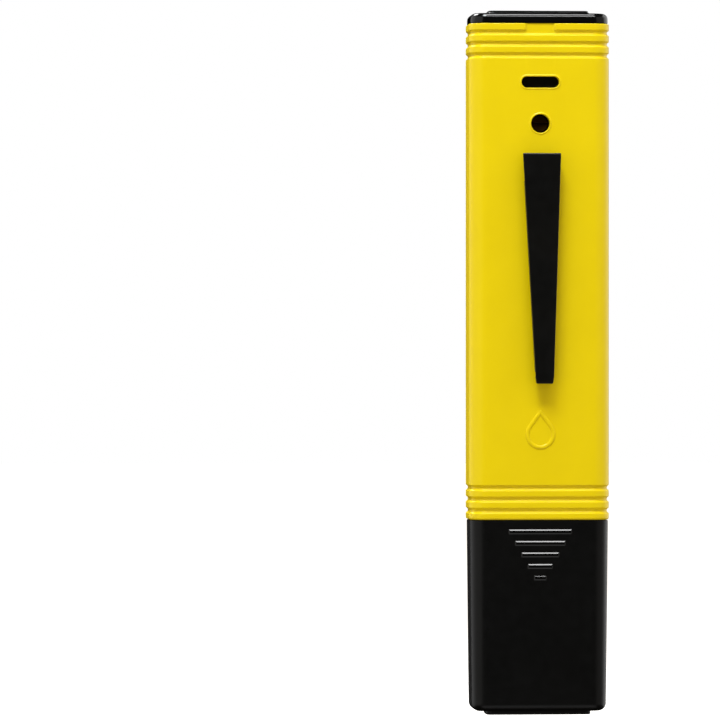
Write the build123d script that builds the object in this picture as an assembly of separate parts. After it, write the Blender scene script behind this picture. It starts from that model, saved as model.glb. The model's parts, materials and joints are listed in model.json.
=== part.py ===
from build123d import *
import math
import os

# Pen-type digital pH meter, in millimetres. +Z runs up the meter, the display faces -Y and the
# clip is on +Y. The origin is the middle of the underside of the foot pad, which it stands on.

# ---- driving dimensions -----------------------------------------------------------------------

TOTAL_LENGTH = 155.0
BODY_WIDTH = 31.0
BODY_DEPTH = 14.5
BODY_CORNER = 3.8
WALL = 1.3
SEAM = 0.1  # gap where a cap meets the sleeve
FIT = 0.1  # gap between a plug or cap and the wall it slides in
RUNNING_GAP = 0.05  # gap round a small piece that turns or slides in a bore

FOOT_HEIGHT = 0.9
SEAM_HEIGHT = 43.0  # lower end of the yellow sleeve
SLEEVE_LENGTH = 109.0
PAD_WIDTH = 23.2
PAD_DEPTH = 7.0
PAD_HEIGHT = 0.7

# ---- heights and walls worked out from them ---------------------------------------------------

SLEEVE_TOP = SEAM_HEIGHT + SLEEVE_LENGTH
CAP_MOUTH = SEAM_HEIGHT - SEAM
DRAWER_SEAT = SLEEVE_TOP + SEAM
FRONT = -BODY_DEPTH / 2
REAR = BODY_DEPTH / 2
INNER_REAR = REAR - WALL
INNER_FRONT = -INNER_REAR
BORE_WIDTH = BODY_WIDTH - 2 * WALL
BORE_DEPTH = BODY_DEPTH - 2 * WALL
BORE_CORNER = BODY_CORNER - WALL

# ---- ribs -------------------------------------------------------------------------------------

RIB_PITCH = 2.5
RIB_COUNT = 3
GROOVE_DEPTH = 0.45
GROOVE_ROUND = 0.8  # radius of the groove's section
END_RIB = 2.0  # from an end of the sleeve to the middle of its nearest groove

# ---- display ----------------------------------------------------------------------------------

DISPLAY_HEIGHT = 112.0
VIEW_WIDTH = 19.4
VIEW_HEIGHT = 9.6
LENS_WIDTH = 22.2
LENS_HEIGHT = 12.4
LENS_THICKNESS = 0.8
LABEL_THICKNESS = 0.2
LABEL_WIDTH = 23.0
LABEL_LOW = 59.2
LABEL_HIGH = 125.4
LCD_WIDTH = 24.0
LCD_HEIGHT = 14.8
LCD_LEDGE = 1.2  # strip of the front glass that the connectors press on
LCD_PLATE = 1.0
LCD_FRONT = -5.4

# ---- circuit board ----------------------------------------------------------------------------

BOARD_WIDTH = 27.8
BOARD_BACK = 0.0
BOARD_FRONT = -1.0
BOARD_LOW = 60.0
BOARD_HIGH = 135.6
AMPLIFIER_X = -5.0
AMPLIFIER_HEIGHT = 76.0
LEAD_RADIUS = 0.5

# ---- button, trimmer, slot and clip -----------------------------------------------------------

BUTTON_HEIGHT = 88.0
BUTTON_RADIUS = 4.4
BUTTON_TRAVEL = 0.3
PLUNGER_RADIUS = 1.5
SWITCH_FRONT = BOARD_FRONT - 2.45
PLUNGER_TIP = SWITCH_FRONT - 0.7
TRIMMER_HEIGHT = 130.0
TRIMMER_HOLE = 4.0
TRIMMER_COLLAR = 0.35  # the hole's rim stands this far into the sleeve, as a guide for the screwdriver
SLOT_HEIGHT = 139.1
SLOT_LENGTH = 8.3
SLOT_WIDTH = 2.5
CLIP_TOP = 123.4
CLIP_BLOCK = 5.3  # height of the block where it meets the wall
CLIP_GUSSET = 1.8  # radius between the block and the inside of the arm
CLIP_TIP = 72.9
CLIP_TOP_WIDTH = 8.4
CLIP_TIP_WIDTH = 3.95
CLIP_LEAN = -0.6  # the arm runs this far to one side on its way down to its tip
CLIP_PROUD = 3.65
CLIP_THICKNESS = 1.55
CLIP_SPREAD = 0.25  # the arm stands slightly further out at its tip
CLIP_ROOT = CLIP_TOP - CLIP_BLOCK - CLIP_GUSSET  # the arm bends below this height
CLIP_OUTER = REAR + CLIP_PROUD
MARK_HEIGHT = 62.8

# ---- battery drawer ---------------------------------------------------------------------------

CELL_RADIUS = 5.8
CELL_THICKNESS = 5.4
CELL_COUNT = 4
CELL_HEIGHT = 144.5
STACK_HALF = CELL_COUNT * CELL_THICKNESS / 2
TRAY_LOW = 136.4
TRAY_HALF_WIDTH = 12.6
DRAWER_CAP_WIDTH = 30.4
DRAWER_CAP_DEPTH = 14.2
DRAWER_CAP_CORNER = 3.6

# ---- probe and protective cap -----------------------------------------------------------------

CAP_WIDTH = 30.6
CAP_DEPTH = 14.0
CAP_CORNER = 3.6
CAP_TAPER = 0.6  # degrees, each side
CAP_FLOOR = 2.4
ELECTRODE_X = -2.8
JUNCTION_X = 3.6
STEM_RADIUS = 2.5
BULB_RADIUS = 3.1
BULB_HEIGHT = 11.6
NOSE_LOW = 7.5
NOSE_WIDTH = 16.0
NOSE_DEPTH = 9.4
WELL_TOP = 22.0
CHAMBER_LOW = 26.0
POTTING_LOW = 50.0
PLUG_TOP = 54.0
SHOULDER_LOW = 25.0
COLLAR_LOW = 34.0
WIRE_RADIUS = 0.3
GASKET_HEIGHT = 24.0
GASKET_BAR = 0.6
GASKET_RING = STEM_RADIUS + GASKET_BAR + 0.02
SEAL_HEIGHT = 38.0
SEAL_BAR = 0.6
SEAL_PATH = (26.5, 9.9, 1.9)  # width, depth and corner of the seal's centreline


# ---- shapes used more than once ---------------------------------------------------------------


def block(x, y, z):
    """A box given by its (low, high) pair along each axis."""
    size = (x[1] - x[0], y[1] - y[0], z[1] - z[0])
    return Pos(x[0], y[0], z[0]) * Box(*size, align=(Align.MIN, Align.MIN, Align.MIN))


def rounded_slab(width, depth, corner, low, high):
    """A rounded rectangle about the Z axis, between two heights."""
    return extrude(Pos(0, 0, low) * RectangleRounded(width, depth, corner), amount=high - low)


def tapered_slab(width, depth, corner, high, low):
    """A rounded rectangle at the upper height, drawn in by the cap's taper on its way down."""
    top = Plane(origin=(0, 0, high), x_dir=(1, 0, 0), z_dir=(0, 0, -1))
    return extrude(top * RectangleRounded(width, depth, corner), amount=high - low, taper=CAP_TAPER)


def round_bar_ring(width, depth, corner, height, bar_radius):
    """A round bar bent into a rounded rectangle about the Z axis."""
    path = (Pos(0, 0, height) * RectangleRounded(width, depth, corner)).face().outer_wire()
    section = Plane(origin=path @ 0, z_dir=path % 0) * Circle(bar_radius)
    return sweep(section, path=path)


def facing_rear(y, z, x=0.0):
    """A sketch plane that looks out of the back of the meter, with its Y axis up."""
    return Plane(origin=(x, y, z), x_dir=(-1, 0, 0), z_dir=(0, 1, 0))


def facing_front(y, z, x=0.0):
    """A sketch plane that looks out of the front of the meter, with its Y axis up."""
    return Plane(origin=(x, y, z), x_dir=(1, 0, 0), z_dir=(0, -1, 0))


def rod(radius, x, y, low, high):
    """An upright cylinder."""
    return extrude(Pos(x, y, low) * Circle(radius), amount=high - low)


def edges_at(part, height):
    """The edges of a part that lie wholly at one height."""
    return part.edges().filter_by_position(Axis.Z, height - 0.001, height + 0.001)


def rear_edges_between(part, low, high):
    """The edges in the sleeve's flat back that lie wholly between two heights."""
    on_back = part.edges().filter_by_position(Axis.Y, REAR - 0.001, REAR + 0.001)
    return on_back.filter_by_position(Axis.Z, low, high)


def widened(size, gap):
    """A size with the same gap added at each side."""
    return size + 2 * gap


# ---- sleeve -----------------------------------------------------------------------------------


def groove(height):
    """The cutter of one groove all round the sleeve."""
    outside = GROOVE_ROUND - GROOVE_DEPTH
    return round_bar_ring(
        widened(BODY_WIDTH, outside),
        widened(BODY_DEPTH, outside),
        BODY_CORNER + outside,
        height,
        GROOVE_ROUND,
    )


def nail_notch():
    """The fingernail recess in the back of the topmost rib, open at the sleeve's end."""
    low = SLEEVE_TOP - END_RIB - 0.5
    height = 4.0
    outline = facing_rear(REAR - GROOVE_DEPTH, low + height / 2) * RectangleRounded(6.0, height, 0.6)
    return extrude(outline, amount=1.0)


def droplet(scale):
    """A drop standing on its round end: an arc closed by its two tangents to the point."""
    radius = 3.3 * scale
    point = 5.6 * scale
    half_angle = math.acos(radius / point)
    side_x = radius * math.sin(half_angle)
    side_y = radius * math.cos(half_angle)
    arc = ThreePointArc((-side_x, side_y), (0, -radius), (side_x, side_y))
    right = Line((side_x, side_y), (0, point))
    left = Line((0, point), (-side_x, side_y))
    return make_face([arc, right, left])


def rear_mark():
    """A raised drop outline on the back, in place of a printed or moulded mark."""
    outline = droplet(1.0) - droplet(0.74)
    return extrude(facing_rear(REAR - 0.2, MARK_HEIGHT - 1.0) * outline, amount=0.42)


def board_rails():
    """Four ribs inside the side walls, which the circuit board slides between."""
    inner_side = BORE_WIDTH / 2
    rails = []
    for side in (-1, 1):
        reach = sorted((side * (inner_side + 0.2), side * (inner_side - 0.9)))
        for y in ((BOARD_BACK + 0.05, BOARD_BACK + 0.85), (BOARD_FRONT - 0.85, BOARD_FRONT - 0.05)):
            rails.append(block(reach, y, (BOARD_LOW, BOARD_HIGH - 1.6)))
    return rails


def body_shell():
    shell = rounded_slab(BODY_WIDTH, BODY_DEPTH, BODY_CORNER, SEAM_HEIGHT, SLEEVE_TOP)
    shell = fillet(edges_at(shell, SEAM_HEIGHT), 0.45)
    shell = fillet(edges_at(shell, SLEEVE_TOP), 0.2)
    for rib in range(RIB_COUNT):
        shell -= groove(SEAM_HEIGHT + END_RIB + rib * RIB_PITCH)
        shell -= groove(SLEEVE_TOP - END_RIB - rib * RIB_PITCH)
    shell -= rounded_slab(BORE_WIDTH, BORE_DEPTH, BORE_CORNER, SEAM_HEIGHT - 1, SLEEVE_TOP + 1)
    shell -= nail_notch()
    for y, width, height in (
        (FRONT + LENS_THICKNESS, LENS_WIDTH, LENS_HEIGHT),
        (INNER_FRONT + 0.5, VIEW_WIDTH + 1.0, VIEW_HEIGHT + 1.0),
    ):
        window = facing_front(y, DISPLAY_HEIGHT) * RectangleRounded(width, height, 1.0)
        shell -= extrude(window, amount=y - FRONT + 1)
    button_hole = facing_front(INNER_FRONT + 0.5, BUTTON_HEIGHT) * Circle(BUTTON_RADIUS + FIT)
    shell -= extrude(button_hole, amount=WALL + 1)
    slot = facing_rear(INNER_REAR - 0.5, SLOT_HEIGHT) * SlotOverall(SLOT_LENGTH, SLOT_WIDTH)
    shell -= extrude(slot, amount=WALL + 1)
    collar = facing_rear(INNER_REAR - TRIMMER_COLLAR, TRIMMER_HEIGHT) * Circle(TRIMMER_HOLE / 2 + WALL)
    shell += extrude(collar, amount=TRIMMER_COLLAR + WALL / 2)
    trimmer_hole = facing_rear(INNER_REAR - 0.5, TRIMMER_HEIGHT) * Circle(TRIMMER_HOLE / 2)
    shell -= extrude(trimmer_hole, amount=WALL + 1)
    shell = fillet(rear_edges_between(shell, TRIMMER_HEIGHT - TRIMMER_HOLE, SLOT_HEIGHT + SLOT_WIDTH), 0.25)
    shell -= clip_neck(gap=RUNNING_GAP)
    shell += board_rails()
    shell += rear_mark()
    return shell


# ---- front ------------------------------------------------------------------------------------


def front_label():
    middle = (LABEL_LOW + LABEL_HIGH) / 2
    label = extrude(
        facing_front(FRONT, middle) * RectangleRounded(LABEL_WIDTH, LABEL_HIGH - LABEL_LOW, 2.0),
        amount=LABEL_THICKNESS,
    )
    view = facing_front(FRONT + 1, DISPLAY_HEIGHT) * RectangleRounded(VIEW_WIDTH, VIEW_HEIGHT, 0.8)
    button = facing_front(FRONT + 1, BUTTON_HEIGHT) * Circle(BUTTON_RADIUS + 0.3)
    return label - extrude(view, amount=2) - extrude(button, amount=2)


def display_window():
    outline = RectangleRounded(LENS_WIDTH - 2 * RUNNING_GAP, LENS_HEIGHT - 2 * RUNNING_GAP, 0.95)
    return extrude(facing_front(FRONT + LENS_THICKNESS, DISPLAY_HEIGHT) * outline, amount=LENS_THICKNESS)


def display_film():
    film = facing_front(LCD_FRONT, DISPLAY_HEIGHT) * Rectangle(LCD_WIDTH - 1.6, LCD_HEIGHT - 2 * LCD_LEDGE)
    return extrude(film, amount=0.2)


def lcd_panel():
    front_plate = facing_front(LCD_FRONT + LCD_PLATE, DISPLAY_HEIGHT) * Rectangle(LCD_WIDTH, LCD_HEIGHT)
    rear_size = (LCD_WIDTH, LCD_HEIGHT - 2 * LCD_LEDGE)
    rear_plate = facing_front(LCD_FRONT + 2 * LCD_PLATE, DISPLAY_HEIGHT) * Rectangle(*rear_size)
    return extrude(front_plate, amount=LCD_PLATE) + extrude(rear_plate, amount=LCD_PLATE)


def lcd_frame():
    """A four-sided frame on the board, with a lip over the edges of the glass."""
    lip = 0.4
    wall = 0.9
    outer = Rectangle(widened(LCD_WIDTH, wall), widened(LCD_HEIGHT, wall))
    pocket = Rectangle(widened(LCD_WIDTH, RUNNING_GAP), widened(LCD_HEIGHT, RUNNING_GAP))
    opening = Rectangle(LCD_WIDTH - 1.4, LCD_HEIGHT - 2.0)
    board = facing_front(BOARD_FRONT, DISPLAY_HEIGHT)
    height = BOARD_FRONT - LCD_FRONT
    frame = extrude(board * outer, amount=height + lip)
    front_face = frame.faces().sort_by(Axis.Y)[0]
    frame = chamfer(front_face.edges().filter_by(Axis.Z), 0.6)
    frame -= extrude(board * pocket, amount=height)
    return frame - extrude(board * opening, amount=height + 1)


def connector_strip(side):
    """The elastomer strip between the board and the glass's ledge, above or below the display."""
    middle = DISPLAY_HEIGHT + side * (LCD_HEIGHT - LCD_LEDGE) / 2
    strip = facing_front(BOARD_FRONT, middle) * Rectangle(LCD_WIDTH - 1.0, LCD_LEDGE - 0.2)
    return extrude(strip, amount=BOARD_FRONT - LCD_FRONT - LCD_PLATE)


def power_button():
    """A round cap with a dished face, a flange behind the wall and a nib on the switch."""
    face = FRONT - 0.15
    flange_front = INNER_FRONT + FIT
    flange_back = flange_front + 0.6
    cap = extrude(facing_front(flange_back, BUTTON_HEIGHT) * Circle(BUTTON_RADIUS), amount=flange_back - face)
    cap = fillet(cap.faces().sort_by(Axis.Y)[0].edges(), 0.3)
    dish_radius = 22.0
    dish_sag = 0.3
    cap -= Pos(0, face - dish_radius + dish_sag, BUTTON_HEIGHT) * Sphere(dish_radius)
    flange = extrude(facing_front(flange_back, BUTTON_HEIGHT) * Circle(BUTTON_RADIUS + 0.8), amount=0.6)
    nib = extrude(facing_front(PLUNGER_TIP - RUNNING_GAP, BUTTON_HEIGHT) * Circle(1.2), amount=1.3)
    return cap + flange + nib


# ---- circuit board and what it carries --------------------------------------------------------


def circuit_board():
    middle = (BOARD_LOW + BOARD_HIGH) / 2
    outline = facing_rear(BOARD_FRONT, middle) * RectangleRounded(BOARD_WIDTH, BOARD_HIGH - BOARD_LOW, 0.8)
    return extrude(outline, amount=BOARD_BACK - BOARD_FRONT)


def switch_body():
    half = 3.0
    body = block((-half, half), (SWITCH_FRONT, BOARD_FRONT), (BUTTON_HEIGHT - half, BUTTON_HEIGHT + half))
    bore_floor = SWITCH_FRONT + 0.8 + BUTTON_TRAVEL
    bore = facing_front(bore_floor, BUTTON_HEIGHT) * Circle(PLUNGER_RADIUS + RUNNING_GAP)
    body -= extrude(bore, amount=2)
    for x in (-1, 1):
        for z in (-1, 1):
            leg_x = sorted((x * half, x * (half + 0.9)))
            leg_z = BUTTON_HEIGHT + z * 2.25
            body += block(leg_x, (BOARD_FRONT - 0.25, BOARD_FRONT), (leg_z - 0.35, leg_z + 0.35))
    return body


def switch_plunger():
    return extrude(facing_front(SWITCH_FRONT + 0.45, BUTTON_HEIGHT) * Circle(PLUNGER_RADIUS), amount=1.15)


def trimmer_body():
    half = 3.4
    depth = 3.6
    height = (TRIMMER_HEIGHT - half, TRIMMER_HEIGHT + half)
    body = block((-half, half), (BOARD_BACK, BOARD_BACK + depth), height)
    bore = facing_rear(BOARD_BACK + 1.6, TRIMMER_HEIGHT) * Circle(PLUNGER_RADIUS + RUNNING_GAP)
    return body - extrude(bore, amount=depth)


def trimmer_rotor():
    """A screw with a wide slotted head, which a small screwdriver reaches through the wall."""
    stem = extrude(facing_rear(BOARD_BACK + 1.75, TRIMMER_HEIGHT) * Circle(PLUNGER_RADIUS), amount=2.0)
    head = extrude(facing_rear(BOARD_BACK + 3.7, TRIMMER_HEIGHT) * Circle(1.9), amount=1.3)
    head = chamfer(head.faces().sort_by(Axis.Y)[-1].edges(), 0.15)
    slot = facing_rear(BOARD_BACK + 4.3, TRIMMER_HEIGHT) * Rectangle(5.0, 0.6)
    return stem + head - extrude(slot, amount=1.5)


def display_driver():
    """The potted chip behind the display: a low dome of black resin on the board."""
    dome_radius = 6.2
    dome_height = 1.5
    ball = (dome_radius**2 + dome_height**2) / (2 * dome_height)
    dome = Pos(0, BOARD_BACK + dome_height - ball, DISPLAY_HEIGHT) * Sphere(ball)
    reach = dome_radius + 1
    return dome & block(
        (-reach, reach), (BOARD_BACK, BOARD_BACK + 2), (DISPLAY_HEIGHT - reach, DISPLAY_HEIGHT + reach)
    )


def gull_leg(side, z):
    """One bent lead of the amplifier chip, out of its side and down to the board."""
    thickness = 0.2
    body_edge = 1.95
    points = [
        (body_edge, 0.9),
        (body_edge + 0.5, 0.9),
        (body_edge + 0.5, thickness),
        (body_edge + 1.1, thickness),
        (body_edge + 1.1, 0.0),
        (body_edge + 0.3, 0.0),
        (body_edge + 0.3, 0.7),
        (body_edge, 0.7),
    ]
    outline = make_face(Polyline(*[(AMPLIFIER_X + side * x, y) for x, y in points], close=True))
    return Pos(0, BOARD_BACK, z - 0.2) * extrude(outline, amount=0.4)


def amplifier_chip():
    body = block(
        (AMPLIFIER_X - 1.95, AMPLIFIER_X + 1.95),
        (BOARD_BACK + 0.15, BOARD_BACK + 1.6),
        (AMPLIFIER_HEIGHT - 2.45, AMPLIFIER_HEIGHT + 2.45),
    )
    body = chamfer(body.faces().sort_by(Axis.Y)[-1].edges(), 0.2)
    for row in range(4):
        z = AMPLIFIER_HEIGHT + 1.27 * (row - 1.5)
        body += gull_leg(-1, z)
        body += gull_leg(1, z)
    return body


def chip_parts(places, length, width, height):
    """Small surface-mount parts on the back of the board, one solid at each (x, z) place."""
    parts = []
    for x, z in places:
        part = block(
            (x - length / 2, x + length / 2),
            (BOARD_BACK, BOARD_BACK + height),
            (z - width / 2, z + width / 2),
        )
        parts.append(part)
    return Compound(children=parts)


def smd_resistors():
    places = [(3.0 + 3.2 * column, 72.0 + 3.4 * row) for column in range(3) for row in range(4)]
    return chip_parts(places, 1.6, 0.8, 0.5)


def smd_capacitors():
    places = [(x, z) for x in (-9.0, -5.5, 5.0) for z in (95.0, 99.0)]
    return chip_parts(places, 2.0, 1.25, 0.9)


def filter_capacitor():
    """A small aluminium can that stands on the back of the board."""
    can = extrude(facing_rear(BOARD_BACK, 97.0, 10.0) * Circle(2.0), amount=5.0)
    return fillet(can.faces().sort_by(Axis.Y)[-1].edges(), 0.3)


def spring_contact(side):
    """A finger soldered to the board's back, bent in to touch an end of the cell stack."""
    outer_x = TRAY_HALF_WIDTH + 0.35
    touch_x = STACK_HALF + 0.3
    route = FilletPolyline(
        (outer_x, 130.4),
        (outer_x, 138.4),
        (touch_x, CELL_HEIGHT),
        (touch_x + 1.2, CELL_HEIGHT + 3.2),
        radius=1.5,
    )
    upright = Plane(origin=(0, BOARD_BACK + 3.0, 0), x_dir=(1, 0, 0), z_dir=(0, -1, 0))
    finger = extrude(upright * trace(route, line_width=0.3), amount=3.0)
    return finger if side > 0 else mirror(finger, about=Plane.YZ)


# ---- battery drawer ---------------------------------------------------------------------------


def battery_cap():
    """The black top: a plate over the sleeve's end, a dished pad and two plug ends."""
    pad_low = TOTAL_LENGTH - PAD_HEIGHT
    plate = rounded_slab(DRAWER_CAP_WIDTH, DRAWER_CAP_DEPTH, DRAWER_CAP_CORNER, DRAWER_SEAT, pad_low)
    plate = fillet(edges_at(plate, pad_low), 1.2)
    pad = rounded_slab(PAD_WIDTH, PAD_DEPTH, 1.3, pad_low - 0.5, TOTAL_LENGTH)
    pad = chamfer(edges_at(pad, TOTAL_LENGTH), 0.45)
    dish_sag = 0.25
    dish_half = PAD_DEPTH / 2 - 0.6
    dish_radius = (dish_half**2 + dish_sag**2) / (2 * dish_sag)
    dish = Pos(0, 0, TOTAL_LENGTH - dish_sag + dish_radius) * Rot(0, 90, 0)
    pad -= dish * Cylinder(dish_radius, widened(PAD_WIDTH, 1))
    plug_size = (BORE_WIDTH - 2 * FIT, BORE_DEPTH - 2 * FIT, BORE_CORNER - FIT)
    plug = rounded_slab(*plug_size, DRAWER_SEAT - 2.3, DRAWER_SEAT)
    plug -= block((-TRAY_HALF_WIDTH, TRAY_HALF_WIDTH), (FRONT, REAR), (TRAY_LOW, DRAWER_SEAT))
    return plate + pad + plug


def battery_tray():
    """A cradle under the cells, a wall at each end of the stack and a bridge to the cap."""
    reach = 5.65
    cradle = block((-TRAY_HALF_WIDTH, TRAY_HALF_WIDTH), (-reach, reach), (TRAY_LOW, TRAY_LOW + 4.2))
    bridge = block((-TRAY_HALF_WIDTH, TRAY_HALF_WIDTH), (-reach, reach), (CELL_HEIGHT + 5.9, DRAWER_SEAT))
    tray = cradle + bridge
    for side in (-1, 1):
        wall_x = sorted((side * (STACK_HALF + RUNNING_GAP), side * TRAY_HALF_WIDTH))
        tray += block(wall_x, (-reach, reach), (TRAY_LOW, DRAWER_SEAT))
    along_x = Pos(0, 0, CELL_HEIGHT) * Rot(0, 90, 0)
    tray -= along_x * Cylinder(CELL_RADIUS + RUNNING_GAP, widened(STACK_HALF, RUNNING_GAP) + STACK_HALF)
    for side in (-1, 1):
        finger_x = sorted((side * (STACK_HALF + RUNNING_GAP), side * (TRAY_HALF_WIDTH + 1)))
        tray -= block(finger_x, (BOARD_BACK - 0.4, BOARD_BACK + 3.4), (TRAY_LOW - 1, CELL_HEIGHT + 4.5))
    return tray


def button_cell(index):
    """A can with a narrower, slightly raised end, lying along X in the stack."""
    start = -STACK_HALF + index * CELL_THICKNESS
    raised = 0.5
    along_x = Plane(origin=(start, 0, CELL_HEIGHT), x_dir=(0, 1, 0), z_dir=(1, 0, 0))
    can = extrude(along_x * Circle(CELL_RADIUS), amount=CELL_THICKNESS - raised)
    can = fillet(can.edges(), 0.35)
    lid = extrude(along_x * Circle(CELL_RADIUS - 1.3), amount=CELL_THICKNESS)
    lid = fillet(lid.faces().sort_by(Axis.X)[-1].edges(), 0.25)
    return can + lid


# ---- clip -------------------------------------------------------------------------------------


def clip_neck(gap=0.0):
    """The square neck that holds the clip in the back wall."""
    middle = CLIP_TOP - CLIP_BLOCK / 2
    neck = facing_rear(INNER_REAR - 0.01, middle) * Rectangle(widened(5.0, gap), widened(3.6, gap))
    return extrude(neck, amount=WALL + 0.02)


def clip_half_width(z):
    """Half the clip's width, which narrows evenly from its top to its tip."""
    along = (CLIP_TOP - z) / (CLIP_TOP - CLIP_TIP)
    return (CLIP_TOP_WIDTH + along * (CLIP_TIP_WIDTH - CLIP_TOP_WIDTH)) / 2


def clip_outline():
    """The clip seen from behind, with the corners of its tip cut off."""
    cut_high = CLIP_TIP + 1.0
    right = [
        (clip_half_width(CLIP_TIP) - 0.2, CLIP_TIP),
        (clip_half_width(cut_high), cut_high),
        (clip_half_width(CLIP_TOP), CLIP_TOP),
    ]
    corners = right + [(-x, z) for x, z in reversed(right)]
    leaning = [(x + CLIP_LEAN * (CLIP_TOP - z) / (CLIP_TOP - CLIP_TIP), z) for x, z in corners]
    return make_face(Polyline(*leaning, close=True))


def clip_side():
    """The clip seen from its side as (y, z): block, gusset, arm, and the foot near its tip."""
    block_low = CLIP_TOP - CLIP_BLOCK
    inner = CLIP_OUTER - CLIP_THICKNESS
    tip_outer = CLIP_OUTER + CLIP_SPREAD
    tip_inner = tip_outer - CLIP_THICKNESS
    tip_round = 0.5
    gusset_start = (inner - CLIP_GUSSET, block_low)
    gusset_middle = CLIP_GUSSET * (1 - math.sqrt(0.5))
    gusset = ThreePointArc(
        gusset_start, (inner - gusset_middle, block_low - gusset_middle), (inner, block_low - CLIP_GUSSET)
    )
    below = Polyline(
        (inner, block_low - CLIP_GUSSET),
        (tip_inner, CLIP_TIP + 2.8),
        (REAR + SEAM, CLIP_TIP + 2.5),
        (REAR + SEAM, CLIP_TIP + 1.7),
        (tip_inner, CLIP_TIP + 1.5),
        (tip_inner, CLIP_TIP),
        (tip_outer - tip_round, CLIP_TIP),
        (tip_outer, CLIP_TIP + tip_round),
        (CLIP_OUTER, CLIP_ROOT),
        (CLIP_OUTER, CLIP_TOP - 0.25),
        (CLIP_OUTER - 0.25, CLIP_TOP),
        (REAR, CLIP_TOP),
        (REAR, block_low),
        gusset_start,
    )
    return make_face([gusset, below])


def clip_between(low, high):
    """The stretch of the clip between two heights."""
    side_on = Plane(origin=(-BODY_WIDTH, 0, 0), x_dir=(0, 1, 0), z_dir=(1, 0, 0))
    clip = extrude(side_on * clip_side(), amount=2 * BODY_WIDTH)
    clip &= extrude(facing_rear(0, 0) * clip_outline(), amount=2 * BODY_DEPTH)
    return clip & block((-BODY_WIDTH, BODY_WIDTH), (0, 2 * BODY_DEPTH), (low, high))


def clip_base():
    """The block and root of the clip, with its neck and the head behind the wall."""
    head = facing_rear(INNER_REAR - 0.9, CLIP_TOP - CLIP_BLOCK / 2) * Rectangle(7.0, 4.8)
    return clip_between(CLIP_ROOT, CLIP_TOP) + clip_neck() + extrude(head, amount=0.89)


def clip_arm():
    return clip_between(CLIP_TIP, CLIP_ROOT - SEAM)


# ---- probe ------------------------------------------------------------------------------------


def probe_housing():
    """Plug, collar, shoulder and nose in one moulding, with the electrode chamber inside."""
    plug_size = (BORE_WIDTH - 2 * RUNNING_GAP, BORE_DEPTH - 2 * RUNNING_GAP, BORE_CORNER - RUNNING_GAP)
    plug = rounded_slab(*plug_size, SEAM_HEIGHT, PLUG_TOP)
    collar_size = (BORE_WIDTH - 0.4 - 2 * FIT, BORE_DEPTH - 0.5 - 2 * FIT, CAP_CORNER - WALL - FIT)
    collar = tapered_slab(*collar_size, SEAM_HEIGHT + 0.5, COLLAR_LOW)
    shoulder = rounded_slab(25.6, 9.8, 3.0, SHOULDER_LOW, COLLAR_LOW)
    shoulder = chamfer(edges_at(shoulder, SHOULDER_LOW), 0.8)
    nose = rounded_slab(NOSE_WIDTH, NOSE_DEPTH, 3.6, NOSE_LOW, SHOULDER_LOW)
    nose = fillet(edges_at(nose, NOSE_LOW), 0.5)
    housing = plug + collar + shoulder + nose
    housing -= rounded_slab(NOSE_WIDTH - 2.6, NOSE_DEPTH - 2.2, 2.6, NOSE_LOW - 1, WELL_TOP)
    housing -= rounded_slab(20.0, 7.6, 2.0, CHAMBER_LOW, PLUG_TOP + 1)
    housing -= rod(STEM_RADIUS + RUNNING_GAP, ELECTRODE_X, 0, WELL_TOP - 1, CHAMBER_LOW + 1)
    housing -= rod(1.3, JUNCTION_X, 0, WELL_TOP - 1, CHAMBER_LOW + 1)
    housing -= Pos(ELECTRODE_X, 0, GASKET_HEIGHT) * Torus(GASKET_RING, GASKET_BAR + 0.03)
    housing -= round_bar_ring(*SEAL_PATH, SEAL_HEIGHT, SEAL_BAR + RUNNING_GAP)
    for x in (ELECTRODE_X, JUNCTION_X):
        flow_slot = facing_rear(FRONT, 14.0, x) * Rot(0, 0, 90) * SlotOverall(7.0, 3.2)
        housing -= extrude(flow_slot, amount=BODY_DEPTH)
    return housing


def electrode_gasket():
    return Pos(ELECTRODE_X, 0, GASKET_HEIGHT) * Torus(GASKET_RING, GASKET_BAR)


def cap_seal():
    return round_bar_ring(*SEAL_PATH, SEAL_HEIGHT, SEAL_BAR)


def glass_electrode():
    """A glass tube closed by a thin bulb, open at its upper end."""
    tube_wall = 0.5
    bulb_wall = 0.3
    glass = rod(STEM_RADIUS, ELECTRODE_X, 0, BULB_HEIGHT, POTTING_LOW)
    glass += Pos(ELECTRODE_X, 0, BULB_HEIGHT) * Sphere(BULB_RADIUS)
    glass -= Pos(ELECTRODE_X, 0, BULB_HEIGHT) * Sphere(BULB_RADIUS - bulb_wall)
    return glass - rod(STEM_RADIUS - tube_wall, ELECTRODE_X, 0, BULB_HEIGHT, POTTING_LOW + 1)


def inner_electrode_wire():
    """A silver wire with a thicker chloride-coated tip, down the middle of the tube."""
    wire = rod(WIRE_RADIUS, ELECTRODE_X, 0, BULB_HEIGHT + 2, PLUG_TOP)
    return wire + rod(0.55, ELECTRODE_X, 0, BULB_HEIGHT + 1, BULB_HEIGHT + 7)


def reference_junction():
    return rod(1.3, JUNCTION_X, 0, WELL_TOP - 0.8, CHAMBER_LOW + 0.6)


def reference_wire():
    return rod(WIRE_RADIUS, JUNCTION_X, 0, CHAMBER_LOW + 3, PLUG_TOP)


def electrode_potting():
    potting = rounded_slab(20.0, 7.6, 2.0, POTTING_LOW, PLUG_TOP)
    for x in (ELECTRODE_X, JUNCTION_X):
        potting -= rod(WIRE_RADIUS, x, 0, POTTING_LOW - 1, PLUG_TOP + 1)
    return potting


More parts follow.
